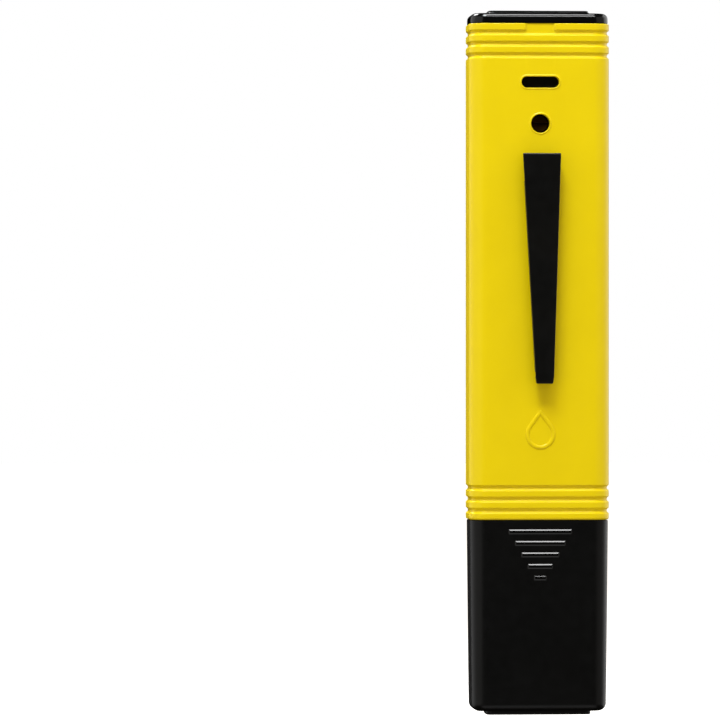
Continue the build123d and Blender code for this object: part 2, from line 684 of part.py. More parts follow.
def lead(x):
    """An insulated wire from the top of the potting to a pad on the back of the board."""
    points = [
        (x, 0, PLUG_TOP),
        (x, 0, PLUG_TOP + 3.0),
        (x, 1.6, PLUG_TOP + 7.5),
        (x, 1.6, PLUG_TOP + 11.5),
        (x, BOARD_BACK + LEAD_RADIUS + 0.05, PLUG_TOP + 14.5),
    ]
    corners = [Vector(*point) for point in points]
    radii = []
    for before, here, after in zip(corners, corners[1:], corners[2:]):
        turn = math.radians((here - before).get_angle(after - here))
        shorter = min((here - before).length, (after - here).length)
        radii.append(0.45 * shorter / math.tan(turn / 2))
    print("lead radii, mm:", [round(radius, 1) for radius in radii])
    path = FilletPolyline(*points, radius=radii)
    section = Plane(origin=path @ 0, z_dir=path % 0) * Circle(LEAD_RADIUS)
    return sweep(section, path=path)


# ---- protective cap ---------------------------------------------------------------------------


def cap_rear(z):
    """How far back the cap's tapered rear face is, at a height."""
    return CAP_DEPTH / 2 - (CAP_MOUTH - z) * math.tan(math.radians(CAP_TAPER))


def grip_bar(row, side):
    """One of the five raised bars on a broad face of the cap, shorter towards the bottom."""
    proud = 0.15
    height = 0.9
    length = 14.0 - 2.8 * row
    high = 40.55 - 2.54 * row
    face = cap_rear(high - height / 2)
    bar = block((-length / 2, length / 2), (face - 0.5, face + proud), (high - height, high))
    bar = chamfer(bar.faces().sort_by(Axis.Y)[-1].edges(), 0.14)
    return bar if side > 0 else mirror(bar, about=Plane.XZ)


def protective_cap():
    skin_low = FOOT_HEIGHT
    cap = tapered_slab(CAP_WIDTH, CAP_DEPTH, CAP_CORNER, CAP_MOUTH, skin_low)
    cap = fillet(edges_at(cap, skin_low), 1.7)
    foot = rounded_slab(PAD_WIDTH, PAD_DEPTH, 1.3, 0, skin_low + 0.5)
    cap += chamfer(edges_at(foot, 0), 0.35)
    inside = (BORE_WIDTH - 0.4, BORE_DEPTH - 0.5, CAP_CORNER - WALL)
    cap -= tapered_slab(*inside, CAP_MOUTH, CAP_FLOOR)
    for row in range(5):
        for side in (-1, 1):
            cap += grip_bar(row, side)
    return cap


def storage_sponge():
    sponge = rounded_slab(25.6, 9.6, 1.8, CAP_FLOOR, CAP_FLOOR + 4.0)
    return fillet(edges_at(sponge, CAP_FLOOR + 4.0), 0.5)


# ---- writing ----------------------------------------------------------------------------------


def all_parts():
    parts = {
        "body_shell": body_shell(),
        "front_label": front_label(),
        "display_window": display_window(),
        "display_film": display_film(),
        "lcd_panel": lcd_panel(),
        "lcd_frame": lcd_frame(),
        "upper_connector_strip": connector_strip(1),
        "lower_connector_strip": connector_strip(-1),
        "power_button": power_button(),
        "circuit_board": circuit_board(),
        "switch_body": switch_body(),
        "switch_plunger": switch_plunger(),
        "trimmer_body": trimmer_body(),
        "trimmer_rotor": trimmer_rotor(),
        "display_driver": display_driver(),
        "amplifier_chip": amplifier_chip(),
        "smd_resistors": smd_resistors(),
        "smd_capacitors": smd_capacitors(),
        "filter_capacitor": filter_capacitor(),
        "positive_contact": spring_contact(1),
        "negative_contact": spring_contact(-1),
        "battery_cap": battery_cap(),
        "battery_tray": battery_tray(),
        "clip_base": clip_base(),
        "clip_arm": clip_arm(),
        "probe_housing": probe_housing(),
        "electrode_gasket": electrode_gasket(),
        "cap_seal": cap_seal(),
        "glass_electrode": glass_electrode(),
        "inner_electrode_wire": inner_electrode_wire(),
        "reference_junction": reference_junction(),
        "reference_wire": reference_wire(),
        "electrode_potting": electrode_potting(),
        "signal_lead": lead(ELECTRODE_X),
        "reference_lead": lead(JUNCTION_X),
        "protective_cap": protective_cap(),
        "storage_sponge": storage_sponge(),
    }
    for index in range(CELL_COUNT):
        parts[f"button_cell_{index + 1}"] = button_cell(index)
    return parts


os.makedirs("parts", exist_ok=True)
for node, shape in all_parts().items():
    export_step(shape, f"parts/{node}.step")
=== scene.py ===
import json
import math

import bmesh
import bpy
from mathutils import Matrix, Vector, noise as pattern
from mathutils.geometry import delaunay_2d_cdt


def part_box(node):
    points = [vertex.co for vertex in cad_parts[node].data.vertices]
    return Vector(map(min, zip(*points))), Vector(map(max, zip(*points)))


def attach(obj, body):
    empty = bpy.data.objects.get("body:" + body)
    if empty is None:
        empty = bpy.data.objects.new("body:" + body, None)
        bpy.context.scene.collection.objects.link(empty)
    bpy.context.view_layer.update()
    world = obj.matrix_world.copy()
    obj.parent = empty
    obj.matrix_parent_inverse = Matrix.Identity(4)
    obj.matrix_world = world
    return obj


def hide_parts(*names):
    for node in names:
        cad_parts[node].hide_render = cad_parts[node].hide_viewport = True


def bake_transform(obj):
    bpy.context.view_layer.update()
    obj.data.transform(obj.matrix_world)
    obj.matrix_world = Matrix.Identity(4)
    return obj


# Looks of a pen-type digital pH meter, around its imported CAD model. The meter stands on its foot
# with +Z up, the display faces -Y and the clip is on +Y. Lengths in this file are in millimetres
# until MM turns them into Blender's metres.

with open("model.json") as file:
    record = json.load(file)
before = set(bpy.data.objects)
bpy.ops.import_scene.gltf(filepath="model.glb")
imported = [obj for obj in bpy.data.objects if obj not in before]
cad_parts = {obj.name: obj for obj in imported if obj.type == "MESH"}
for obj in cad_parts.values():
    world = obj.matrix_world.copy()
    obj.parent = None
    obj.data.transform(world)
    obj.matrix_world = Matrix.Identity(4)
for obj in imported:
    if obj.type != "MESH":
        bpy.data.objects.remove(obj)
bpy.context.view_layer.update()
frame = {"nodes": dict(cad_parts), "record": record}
MM = 0.001


def span(node):
    """A CAD node's lowest and highest corner, in millimetres."""
    low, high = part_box(node)
    return low / MM, high / MM


# ---- sizes read from the frame ---------------------------

SLEEVE_LOW, SLEEVE_HIGH = span("body_shell")
LABEL_LOW, LABEL_HIGH = span("front_label")
WINDOW_LOW, WINDOW_HIGH = span("display_window")
FILM_LOW = span("display_film")[0]
BUTTON_LOW, BUTTON_HIGH = span("power_button")
TOP_LOW, TOP_HIGH = span("battery_cap")
CAP_HIGH = span("protective_cap")[1]
CLIP_BASE_LOW, CLIP_BASE_HIGH = span("clip_base")
CLIP_ARM_LOW, CLIP_ARM_HIGH = span("clip_arm")
SPONGE_LOW, SPONGE_HIGH = span("storage_sponge")

# ---- sizes that a box doesn't give -----------------------

WIDTH = SLEEVE_HIGH.x - SLEEVE_LOW.x
FRONT = SLEEVE_LOW.y
REAR = -FRONT
DEPTH = REAR - FRONT
CORNER = 3.8
WALL = 1.3
BORE_REAR = REAR - WALL
FLAT_HALF = WIDTH / 2 - CORNER  # half the width of the sleeve's flat front and back
ARC_STEPS = 12

GROOVE_DEPTH = 0.45
GROOVE_PITCH = 2.5
GROOVE_FIRST = 2.0
GROOVE_COUNT = 3
LIP_ROUND = 0.3  # convex rounding where a rib meets a groove
GROOVE_ROUND = 0.55  # concave rounding in the middle of a groove
BOTTOM_ROUND = 0.45  # rounding of the sleeve's bottom edge
TOP_ROUND = 0.2  # rounding of its top edge

SLOT_HEIGHT = 139.1
SLOT_SIZE = (8.3, 2.5)
TRIMMER_HEIGHT = 130.0
TRIMMER_RADIUS = 2.05
RIM_ROUND = 0.18
RIM_BEAD = 0.30  # width of the raised bead round each hole in the back
RIM_HEIGHT = 0.13
RIM_FLAT = 0.3  # flat ring outside the bead, which keeps the bead's shading off the wall
NOTCH_HALF = 2.85
NOTCH_ROUND = 0.65

MARK_HEIGHT = 61.8
MARK_RADIUS = 2.87
MARK_POINT = 4.87  # from the middle of the drop's round part to its point
MARK_HALF_WIDTH = 0.46
MARK_PROUD = 0.22
MARK_SUNK = 0.02

RECESS_SIZE = (22.2, 12.4, 1.0)  # width, height and corner of the window's seat in the front wall
RECESS_DEPTH = 0.8
OPENING_SIZE = (20.4, 10.6, 1.0)
BUTTON_HOLE = (9.0, 9.0, 4.5)
DISPLAY_HEIGHT = (WINDOW_LOW.z + WINDOW_HIGH.z) / 2
BUTTON_HEIGHT = (BUTTON_LOW.z + BUTTON_HIGH.z) / 2

PLATE_SIZE = (30.4, 14.2, 3.6)  # width, depth and corner of the top cap
PLATE_ROUND = 1.2
PLUG_SIZE = (28.2, 11.7, 2.4)  # the part of the top cap that is inside the sleeve
PAD_SIZE = (23.2, 7.0, 1.3)  # the pad on the top cap, and the foot pad under the protective cap
PAD_HEIGHT = 0.7
PAD_FLARE = 0.42  # height of the sloped foot of the top pad
PAD_TOP = (PAD_SIZE[0] - 1.2, PAD_SIZE[1] - PAD_FLARE, PAD_SIZE[2] - 0.2)  # its outline above that foot
PAD_EDGE = 0.1
DISH_SAG = 0.25
DISH_RIM = 0.12  # share of the way to the middle over which the dish starts

CAP_SIZE = (30.6, 14.0, 3.6)  # width, depth and corner of the protective cap at its mouth
CAP_BORE = (28.0, 11.4, 2.3)
CAP_SKIN_LOW = 0.9
CAP_LOW_ROUND = 1.7
FOOT_ROUND = 0.12  # concave rounding where the foot pad meets the cap
TAPER = math.tan(math.radians(0.6))

BAR_COUNT = 5
BAR_LONGEST = 14.0
BAR_SHORTENING = 2.8
BAR_TOP = 40.9
BAR_PITCH = 2.53
BAR_HEIGHT = 1.05
BAR_BEVEL = 0.25
BAR_PROUD = 0.136
BAR_CORNER = 0.12

SPONGE_ROUND = 1.2
SPONGE_CUTS = 44
SPONGE_CROWN = 0.5
PIT_DEPTH = 0.35
PIT_SIZE = 0.7

CLIP_WIDTH = 8.4
CLIP_TIP_WIDTH = 3.95
CLIP_THICK = 1.55
CLIP_LEAN = -0.6  # the arm runs a little to one side on its way down
CLIP_BLOCK = 1.8  # from the arm's root up to the underside of the block
CLIP_EDGE = 0.3
CLIP_CORNER = 0.2
CLIP_GUSSET = 1.8
TIP_EDGE = 0.35
TIP_NARROWING = 1.0  # height over which the arm narrows at its tip
FOOT_GAP = 0.12
FOOT_SHARE = 0.8  # width of the foot where it meets the back, as a share of the arm's width

LABEL_CORNER = 2.0
LABEL_EDGE = 0.06
LABEL_WINDOW = (19.4, 9.6, 0.8)
LABEL_BUTTON = (9.4, 9.4, 4.7)
BUTTON_RADIUS = 4.4
BUTTON_FLANGE = 5.2
BUTTON_NIB = 1.2
BUTTON_ROUND = 0.3
BUTTON_DISH = 3.65
BUTTON_SAG = 0.28
BUTTON_RIM = 0.05  # how far the dish's edge lies behind the button's face

INK = 0.015  # thickness of a printed line
PRINT_BACK = LABEL_LOW.y + 0.02
BORDER_INSET = 0.45
BORDER_CORNER = 1.6
FRAME_SIZE = (20.3, 10.5, 1.2)  # the printed line round the window
RING_RADIUS = 6.3  # the printed ring round the button
SCALE_HEIGHT = 70.5
SCALE_PITCH = 1.26
SCALE_STEPS = 15
CHIP_SIZE = (1.04, 3.2, 0.25)  # width, height and corner of one colour step

FIGURE_WIDTH = 3.0
FIGURE_HEIGHT = 5.8
SEGMENT_THICK = 0.62
SEGMENT_GAP = 0.14
FIGURE_SLANT = math.tan(math.radians(6))


# ---- mesh tools ------------------------------------------


def mesh_object(name, verts, faces, body, smooth=True, weld=1e-4):
    """A new object from vertices in millimetres, welded, with outward normals, riding on a body."""
    mesh = bpy.data.meshes.new(name)
    mesh.from_pydata([Vector(v) * MM for v in verts], [], faces)
    work = bmesh.new()
    work.from_mesh(mesh)
    bmesh.ops.remove_doubles(work, verts=work.verts, dist=weld * MM)
    bmesh.ops.dissolve_degenerate(work, edges=work.edges, dist=weld * MM)
    bmesh.ops.recalc_face_normals(work, faces=work.faces)
    work.to_mesh(mesh)
    work.free()
    mesh.polygons.foreach_set("use_smooth", [smooth] * len(mesh.polygons))
    obj = bpy.data.objects.new(name, mesh)
    bpy.context.scene.collection.objects.link(obj)
    if body:
        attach(obj, body)
    return obj


def crisp(obj, angle=35.0):
    """Normals that follow the large faces, with edges over an angle kept sharp."""
    work = bmesh.new()
    work.from_mesh(obj.data)
    for edge in work.edges:
        if len(edge.link_faces) == 2 and edge.calc_face_angle() > math.radians(angle):
            edge.smooth = False
    work.to_mesh(obj.data)
    work.free()
    modifier = obj.modifiers.new("weighted normals", "WEIGHTED_NORMAL")
    modifier.keep_sharp = True
    modifier.weight = 80
    return obj


def rounded_columns(width, depth, corner, steps=ARC_STEPS):
    """(x, y, normal) round a rounded rectangle, anticlockwise from its right side."""
    corner = min(corner, width / 2 - 1e-3, depth / 2 - 1e-3)
    columns = []
    for quarter, (sx, sy) in enumerate(((1, 1), (-1, 1), (-1, -1), (1, -1))):
        centre = (sx * (width / 2 - corner), sy * (depth / 2 - corner))
        for step in range(steps + 1):
            angle = math.radians(90) * (quarter + step / steps)
            normal = (math.cos(angle), math.sin(angle))
            columns.append((centre[0] + corner * normal[0], centre[1] + corner * normal[1], normal))
    return columns


def rounded_outline(width, depth, corner, steps=ARC_STEPS):
    """Points round a rounded rectangle, anticlockwise from its right side."""
    return [(x, y) for x, y, _ in rounded_columns(width, depth, corner, steps)]


def ring(width, depth, corner, z):
    """A rounded rectangle about the Z axis at one height."""
    return [(x, y, z) for x, y in rounded_outline(width, depth, corner)]


def loft(rings, start_cap=True, end_cap=True):
    """Vertices and faces of a skin through rings that have the same number of points."""
    verts = [point for loop in rings for point in loop]
    count = len(rings[0])
    faces = []
    for row in range(len(rings) - 1):
        for i in range(count):
            j = (i + 1) % count
            low, high = row * count, (row + 1) * count
            faces.append((low + i, low + j, high + j, high + i))
    if start_cap:
        faces.append(tuple(range(count))[::-1])
    if end_cap:
        last = (len(rings) - 1) * count
        faces.append(tuple(range(last, last + count)))
    return verts, faces


def join(*parts):
    """Several (vertices, faces) pairs as one."""
    verts, faces = [], []
    for part_verts, part_faces in parts:
        start = len(verts)
        verts.extend(part_verts)
        faces.extend([tuple(start + i for i in face) for face in part_faces])
    return verts, faces


def turns(degrees, steps):
    """Evenly spaced angles from nothing to an angle, in radians."""
    return [math.radians(degrees) * step / steps for step in range(steps + 1)]


def quarter_round(steps=5):
    """(inward, along) shares of a convex quarter round, from its side to its flat end."""
    return [(1 - math.cos(turn), math.sin(turn)) for turn in turns(90, steps)]


def inside(point, outline):
    """Whether a point is in a closed outline."""
    result = False
    for (ax, az), (bx, bz) in zip(outline, outline[1:] + outline[:1]):
        if (az > point.y) != (bz > point.y) and point.x < (bx - ax) * (point.y - az) / (bz - az) + ax:
            result = not result
    return result


def flat_region(border, holes):
    """Points and faces of the flat region inside a border outline and outside its holes."""
    points, edges = [], []
    for loop in (border, *holes):
        start = len(points)
        points += [Vector(point) for point in loop]
        edges += [(start + i, start + (i + 1) % len(loop)) for i in range(len(loop))]
    verts, _, faces, _, _, _ = delaunay_2d_cdt(points, edges, [], 0, 1e-7)
    kept = []
    for face in faces:
        middle = sum((verts[i] for i in face), Vector((0, 0))) / len(face)
        if inside(middle, border) and not any(inside(middle, hole) for hole in holes):
            kept.append(tuple(face))
    return verts, kept


def upright_region(y, border, holes):
    """Vertices and faces of an upright flat region at one y, from outlines as (x, z)."""
    verts, faces = flat_region(border, holes)
    return [(vert.x, y, vert.y) for vert in verts], faces


def open_strip(column, low, high):
    """A wall between two heights along an open row of (x, y) points."""
    verts = [(x, y, z) for z in (low, high) for x, y in column]
    count = len(column)
    return verts, [(i, i + 1, count + i + 1, count + i) for i in range(count - 1)]


# ---- sleeve ----------------------------------------------


def groove_rows():
    """(height from the groove's middle, depth) down one side of a groove's smooth section."""
    reach = LIP_ROUND + GROOVE_ROUND
    half = math.sqrt(GROOVE_DEPTH * (2 * reach - GROOVE_DEPTH))
    steep = math.acos((reach - GROOVE_DEPTH) / reach)
    rows = []
    steps = 5
    for step in range(steps):
        turn = steep * step / steps
        rows.append((half - LIP_ROUND * math.sin(turn), LIP_ROUND * (1 - math.cos(turn))))
    for step in range(steps + 1):
        turn = steep * (1 - step / steps)
        rise = GROOVE_ROUND * (1 - math.cos(turn))
        rows.append((GROOVE_ROUND * math.sin(turn), GROOVE_DEPTH - rise))
    return rows


def rib_rows(start, direction, end_round):
    """(z, depth) rows from an end of the sleeve to the plain wall past its last groove."""
    rows = []
    for rise, along in quarter_round():
        rows.append((start + direction * end_round * rise, end_round * (1 - along)))
    side = groove_rows()
    for groove in range(GROOVE_COUNT):
        middle = start + direction * (GROOVE_FIRST + groove * GROOVE_PITCH)
        rows += [(middle - direction * along, depth) for along, depth in side]
        rows += [(middle + direction * along, depth) for along, depth in reversed(side[:-1])]
    return rows


def back_columns():
    """Places across the sleeve's flat back, close together round the ends of the nail notch."""
    steps = 8
    ends = [NOTCH_HALF + NOTCH_ROUND * step / steps for step in range(steps + 1)]
    side = [0.8, 2.0, *ends, 6.0, FLAT_HALF]
    return [*side[::-1], 0.0, *[-x for x in side]]


def notched(x, normal, depth):
    """A row's depth below the wall, with the fingernail notch cut in the middle of the back."""
    if normal[1] < 1.0:
        return depth
    past = (abs(x) - NOTCH_HALF) / NOTCH_ROUND
    past = min(max(past, 0.0), 1.0)
    share = past * past * (3 - 2 * past)
    return max(depth, GROOVE_DEPTH - (GROOVE_DEPTH - depth) * share)


def sleeve_columns():
    """(x, y, normal) round the outside of the sleeve, with extra columns on its flat back."""
    columns = rounded_columns(WIDTH, DEPTH, CORNER)
    back = [(x, REAR, (0.0, 1.0)) for x in back_columns()[1:-1]]
    return columns[:ARC_STEPS + 1] + back + columns[ARC_STEPS + 1:]


def band_outline(depth, has_notch):
    """The sleeve's outline at a depth below its wall, with or without the nail notch."""
    outline = []
    for x, y, normal in sleeve_columns():
        sunk = notched(x, normal, depth) if has_notch else depth
        outline.append((x - normal[0] * sunk, y - normal[1] * sunk))
    return outline


def sleeve_band(rows, is_top):
    """The ribbed skin at one end of the sleeve."""
    notch_low = SLEEVE_HIGH.z - GROOVE_FIRST
    return loft([[(x, y, z) for x, y in band_outline(depth, is_top and z > notch_low)]
                 for z, depth in rows], False, False)


def end_face(rows, bore, is_top):
    """The flat end of the sleeve, between its outer skin and the bore."""
    z, depth = rows[0]
    verts, faces = flat_region(band_outline(depth, is_top), [bore])
    return [(vert.x, vert.y, z) for vert in verts], faces


def narrow_walls(outline, low, high):
    """The two narrow sides of a rounded box with their corners, from its outline."""
    quarter = ARC_STEPS + 1
    right = outline[3 * quarter:] + outline[:quarter]
    left = outline[quarter:3 * quarter]
    return [open_strip(side, low, high) for side in (right, left)]


def flat_panel(y, low, high, holes, edge_xs=()):
    """The sleeve's flat front or back, round its holes, with extra points along its ends."""
    border = [(-FLAT_HALF, low), *[(x, low) for x in edge_xs], (FLAT_HALF, low)]
    border += [(FLAT_HALF, high), *[(x, high) for x in reversed(edge_xs)], (-FLAT_HALF, high)]
    return upright_region(y, border, holes)


def hole_outline(width, height, corner, z, grow=0.0):
    """A rounded rectangle as (x, z) about a height, grown outwards by an amount."""
    points = rounded_outline(width + 2 * grow, height + 2 * grow, corner + grow)
    return [(x, z + dz) for x, dz in points]


def rim_section():
    """(growth, height) of the low bead round a hole, from the flat wall in to the hole's side."""
    reach = RIM_ROUND + RIM_BEAD
    section = [(reach + RIM_FLAT, 0.0)]
    for turn in turns(180, 8):
        section.append((reach - RIM_BEAD * turn / math.pi, RIM_HEIGHT * (1 - math.cos(turn)) / 2))
    for drop, along in quarter_round()[1:]:
        section.append((RIM_ROUND * (1 - along), RIM_HEIGHT - RIM_ROUND * drop))
    return section


def stepped_hole(steps):
    """The skin of a hole that runs through (outline, y) steps."""
    return loft([[(x, y, z) for x, z in outline] for outline, y in steps], False, False)


def rimmed_hole(width, height, corner, z):
    """A hole through the back wall with a beaded rim: (outer outline, inner outline, skin)."""
    steps = [(hole_outline(width, height, corner, z, grow), REAR + rise) for grow, rise in rim_section()]
    inner = hole_outline(width, height, corner, z)
    return steps[0][0], inner, stepped_hole([*steps, (inner, BORE_REAR)])


def drop_outline(round_steps=40, straight_steps=10):
    """(x, z) points round a drop: an arc and two straight runs that meet at its point."""
    half_angle = math.acos(MARK_RADIUS / MARK_POINT)
    start = math.radians(90) - half_angle
    sweep = math.radians(360) - 2 * half_angle
    path = []
    for step in range(round_steps + 1):
        angle = start - sweep * step / round_steps
        path.append((MARK_RADIUS * math.cos(angle), MARK_RADIUS * math.sin(angle)))
    up = range(1, straight_steps + 1)
    down = range(straight_steps - 1, 0, -1)
    for (x, z), steps in ((path[-1], up), (path[0], down)):
        shares = [step / straight_steps for step in steps]
        path += [(x * (1 - share), z + (MARK_POINT - z) * share) for share in shares]
    return path


def mark_bead():
    """A raised bead along a drop's outline, standing on the back."""
    path = drop_outline()
    count = len(path)
    loops = []
    for side in [math.radians(degrees) for degrees in (0, 15, 35, 60, 90, 120, 145, 165, 180)]:
        out = MARK_HALF_WIDTH * math.cos(side)
        y = REAR - MARK_SUNK + (MARK_PROUD + MARK_SUNK) * math.sin(side)
        loop = []
        for i, (x, z) in enumerate(path):
            before, after = path[i - 1], path[(i + 1) % count]
            run = Vector((after[0] - before[0], after[1] - before[1])).normalized()
            loop.append((-(x + run.y * out), y, MARK_HEIGHT + z - run.x * out))
        loops.append(loop)
    return loft(loops, False, False)


def yellow_sleeve():
    """The one-piece sleeve: ribbed ends, plain sides, and a front and back with their holes."""
    low_end, high_end = SLEEVE_LOW.z, SLEEVE_HIGH.z
    bottom = rib_rows(low_end, 1, BOTTOM_ROUND)
    top = rib_rows(high_end, -1, TOP_ROUND)
    low, high = bottom[-1][0], top[-1][0]
    bore = rounded_outline(WIDTH - 2 * WALL, DEPTH - 2 * WALL, CORNER - WALL)
    slot_rim, slot_inner, slot_skin = rimmed_hole(*SLOT_SIZE, SLOT_SIZE[1] / 2, SLOT_HEIGHT)
    across = 2 * TRIMMER_RADIUS
    hole_rim, hole_inner, hole_skin = rimmed_hole(across, across, TRIMMER_RADIUS, TRIMMER_HEIGHT)
    recess = hole_outline(*RECESS_SIZE, DISPLAY_HEIGHT)
    opening = hole_outline(*OPENING_SIZE, DISPLAY_HEIGHT)
    button = hole_outline(*BUTTON_HOLE, BUTTON_HEIGHT)
    seat = FRONT + RECESS_DEPTH
    parts = [
        sleeve_band(bottom, False),
        sleeve_band(top, True),
        *narrow_walls(rounded_outline(WIDTH, DEPTH, CORNER), low, high),
        slot_skin,
        hole_skin,
        flat_panel(REAR, low, high, [slot_rim, hole_rim], sorted(back_columns())[1:-1]),
        mark_bead(),
        stepped_hole([(recess, FRONT), (recess, seat), (opening, seat), (opening, -BORE_REAR)]),
        stepped_hole([(button, FRONT), (button, -BORE_REAR)]),
        flat_panel(FRONT, low, high, [recess, button]),
        flat_panel(BORE_REAR, low_end, high_end, [slot_inner, hole_inner]),
        flat_panel(-BORE_REAR, low_end, high_end, [opening, button]),
        *narrow_walls(bore, low_end, high_end),
        end_face(bottom, bore, False),
        end_face(top, bore, True),
    ]
    sleeve = mesh_object("sleeve", *join(*parts), "root", weld=2e-4)
    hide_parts("body_shell")
    return crisp(sleeve)


# ---- caps ------------------------------------------------


def inset(size, amount):
    """A rounded rectangle's size drawn in by an amount on every side."""
    width, depth, corner = size
    return (width - 2 * amount, depth - 2 * amount, max(corner - amount, 0.2))


def rounded_edge(size, radius, high, steps):
    """Rings up a side's rounded upper edge, to its flat end at a height."""
    return [ring(*inset(size, radius * inward), high - radius * (1 - along))
            for inward, along in quarter_round(steps)]


def top_cap():
    """The battery drawer's black top: a rounded plate with a raised pad that is dished along X."""
    seat = SLEEVE_HIGH.z + 0.1
    pad_low = TOP_HIGH.z - PAD_HEIGHT
    flare_high = pad_low + PAD_FLARE
    loops = [ring(*inset(PLUG_SIZE, 1.5), TOP_LOW.z), ring(*inset(PLUG_SIZE, 0.2), TOP_LOW.z)]
    loops += [ring(*PLUG_SIZE, TOP_LOW.z + 0.2), ring(*PLUG_SIZE, seat)]
    loops += [ring(*inset(PLATE_SIZE, 0.15), seat), ring(*inset(PLATE_SIZE, 0.04), seat + 0.05)]
    loops.append(ring(*PLATE_SIZE, seat + 0.18))
    loops += rounded_edge(PLATE_SIZE, PLATE_ROUND, pad_low, 8)
    loops += [ring(*PAD_SIZE, pad_low), ring(*PAD_SIZE, pad_low + 0.02)]
    loops += [ring(*PAD_TOP, flare_high), ring(*PAD_TOP, flare_high + 0.03)]
    loops += rounded_edge(PAD_TOP, PAD_EDGE, TOP_HIGH.z, 4)
    rim = inset(PAD_TOP, PAD_EDGE)
    half = rim[1] / 2
    dish = []
    for share in (0.0, 0.03, 0.12, 0.25, 0.4, 0.55, 0.7, 0.85, 0.97):
        flat = ring(*inset(rim, half * share), 0.0)
        dish.append([(x, y, dish_height(y, half, share)) for x, y, _ in flat])
    cap = mesh_object("top_cap", *join(loft(loops, True, False), loft(dish, False, True)), "battery_drawer")
    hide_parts("battery_cap")
    return crisp(cap, 20)


def dish_height(y, half, share):
    """The pad's hollowed top: full height at its rim, lower towards its middle line."""
    sag = DISH_SAG * (1 - (y / half) ** 2)
    return TOP_HIGH.z - sag * min(share / DISH_RIM, 1.0)


def cap_size(z):
    """The protective cap's outline at a height: it tapers towards its foot."""
    return inset(CAP_SIZE, (CAP_HIGH.z - z) * TAPER)


def bottom_cap():
    """The protective cap: a tapered rounded box on a foot pad, open at the top."""
    mouth = CAP_HIGH.z
    lip = cap_size(mouth)
    base = cap_size(CAP_SKIN_LOW)
    pad_high = CAP_SKIN_LOW - FOOT_ROUND
    loops = [ring(*inset(PAD_SIZE, 0.35), 0.0), ring(*inset(PAD_SIZE, 0.1), 0.08), ring(*PAD_SIZE, 0.35)]
    loops.append(ring(*PAD_SIZE, pad_high))
    for inward, along in quarter_round(3)[1:]:
        loops.append(ring(*inset(PAD_SIZE, -FOOT_ROUND * inward), CAP_SKIN_LOW - FOOT_ROUND * (1 - along)))
    for rise, along in quarter_round(8):
        loops.append(ring(*inset(base, CAP_LOW_ROUND * (1 - along)), CAP_SKIN_LOW + CAP_LOW_ROUND * rise))
    loops += [ring(*cap_size(z), z) for z in (10.0, 20.0, 30.0, mouth - 0.25)]
    loops += [ring(*inset(lip, 0.06), mouth - 0.06), ring(*inset(lip, 0.22), mouth)]
    loops += [ring(*inset(CAP_BORE, -0.15), mouth), ring(*CAP_BORE, mouth - 0.15)]
    loops += [ring(*inset(CAP_BORE, (mouth - z) * TAPER), z) for z in (30.0, 15.0, 3.2)]
    floor = 2.4
    loops.append(ring(*inset(CAP_BORE, (mouth - floor) * TAPER + 0.6), floor))
    cap = mesh_object("protective_cap_skin", *loft(loops), "cap")
    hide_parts("protective_cap")
    return crisp(cap)


def grip_bars():
    """Raised bars on each broad face of the protective cap, shorter towards the bottom."""
    parts = []
    for row in range(BAR_COUNT):
        length = BAR_LONGEST - BAR_SHORTENING * row
        middle = BAR_TOP - BAR_PITCH * row - BAR_HEIGHT / 2
        face = cap_size(middle)[1] / 2
        for side in (-1, 1):
            loops = []
            for drawn, out in ((0.0, -0.25), (0.0, 0.0), (BAR_BEVEL, BAR_PROUD)):
                outline = rounded_outline(length - 2 * drawn, BAR_HEIGHT - 2 * drawn, BAR_CORNER, 4)
                loops.append([(x, side * (face + out), middle + dz) for x, dz in outline])
            parts.append(loft(loops))
    bars = mesh_object("grip_bars", *join(*parts), "cap")
    return crisp(bars, 8)


def storage_sponge():
    """The damp sponge in the cap's foot: a soft-edged block, pitted all over and a little crowned."""
    middle = (SPONGE_LOW + SPONGE_HIGH) / 2
    half = (SPONGE_HIGH - SPONGE_LOW) / 2
    core = half - Vector((SPONGE_ROUND, SPONGE_ROUND, SPONGE_ROUND))
    work = bmesh.new()
    bmesh.ops.create_cube(work, size=2.0)
    bmesh.ops.subdivide_edges(work, edges=work.edges[:], cuts=SPONGE_CUTS, use_grid_fill=True)
    for vert in work.verts:
        place = Vector([share * reach for share, reach in zip(vert.co, half)])
        nearest = Vector([min(max(value, -reach), reach) for value, reach in zip(place, core)])
        outward = (place - nearest).normalized()
        pit = PIT_DEPTH * max(pattern.noise(place / PIT_SIZE), 0.0)
        sink = SPONGE_CROWN * (place.x / half.x) ** 4 if place.z > core.z else 0.0
        vert.co = middle + nearest + outward * (SPONGE_ROUND - pit) - Vector((0.0, 0.0, sink))
    verts = [tuple(vert.co) for vert in work.verts]
    work.verts.index_update()
    faces = [tuple(vert.index for vert in face.verts) for face in work.faces]
    work.free()
    sponge = mesh_object("sponge_block", verts, faces, "cap")
    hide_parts("storage_sponge")
    return sponge


# ---- clip ------------------------------------------------


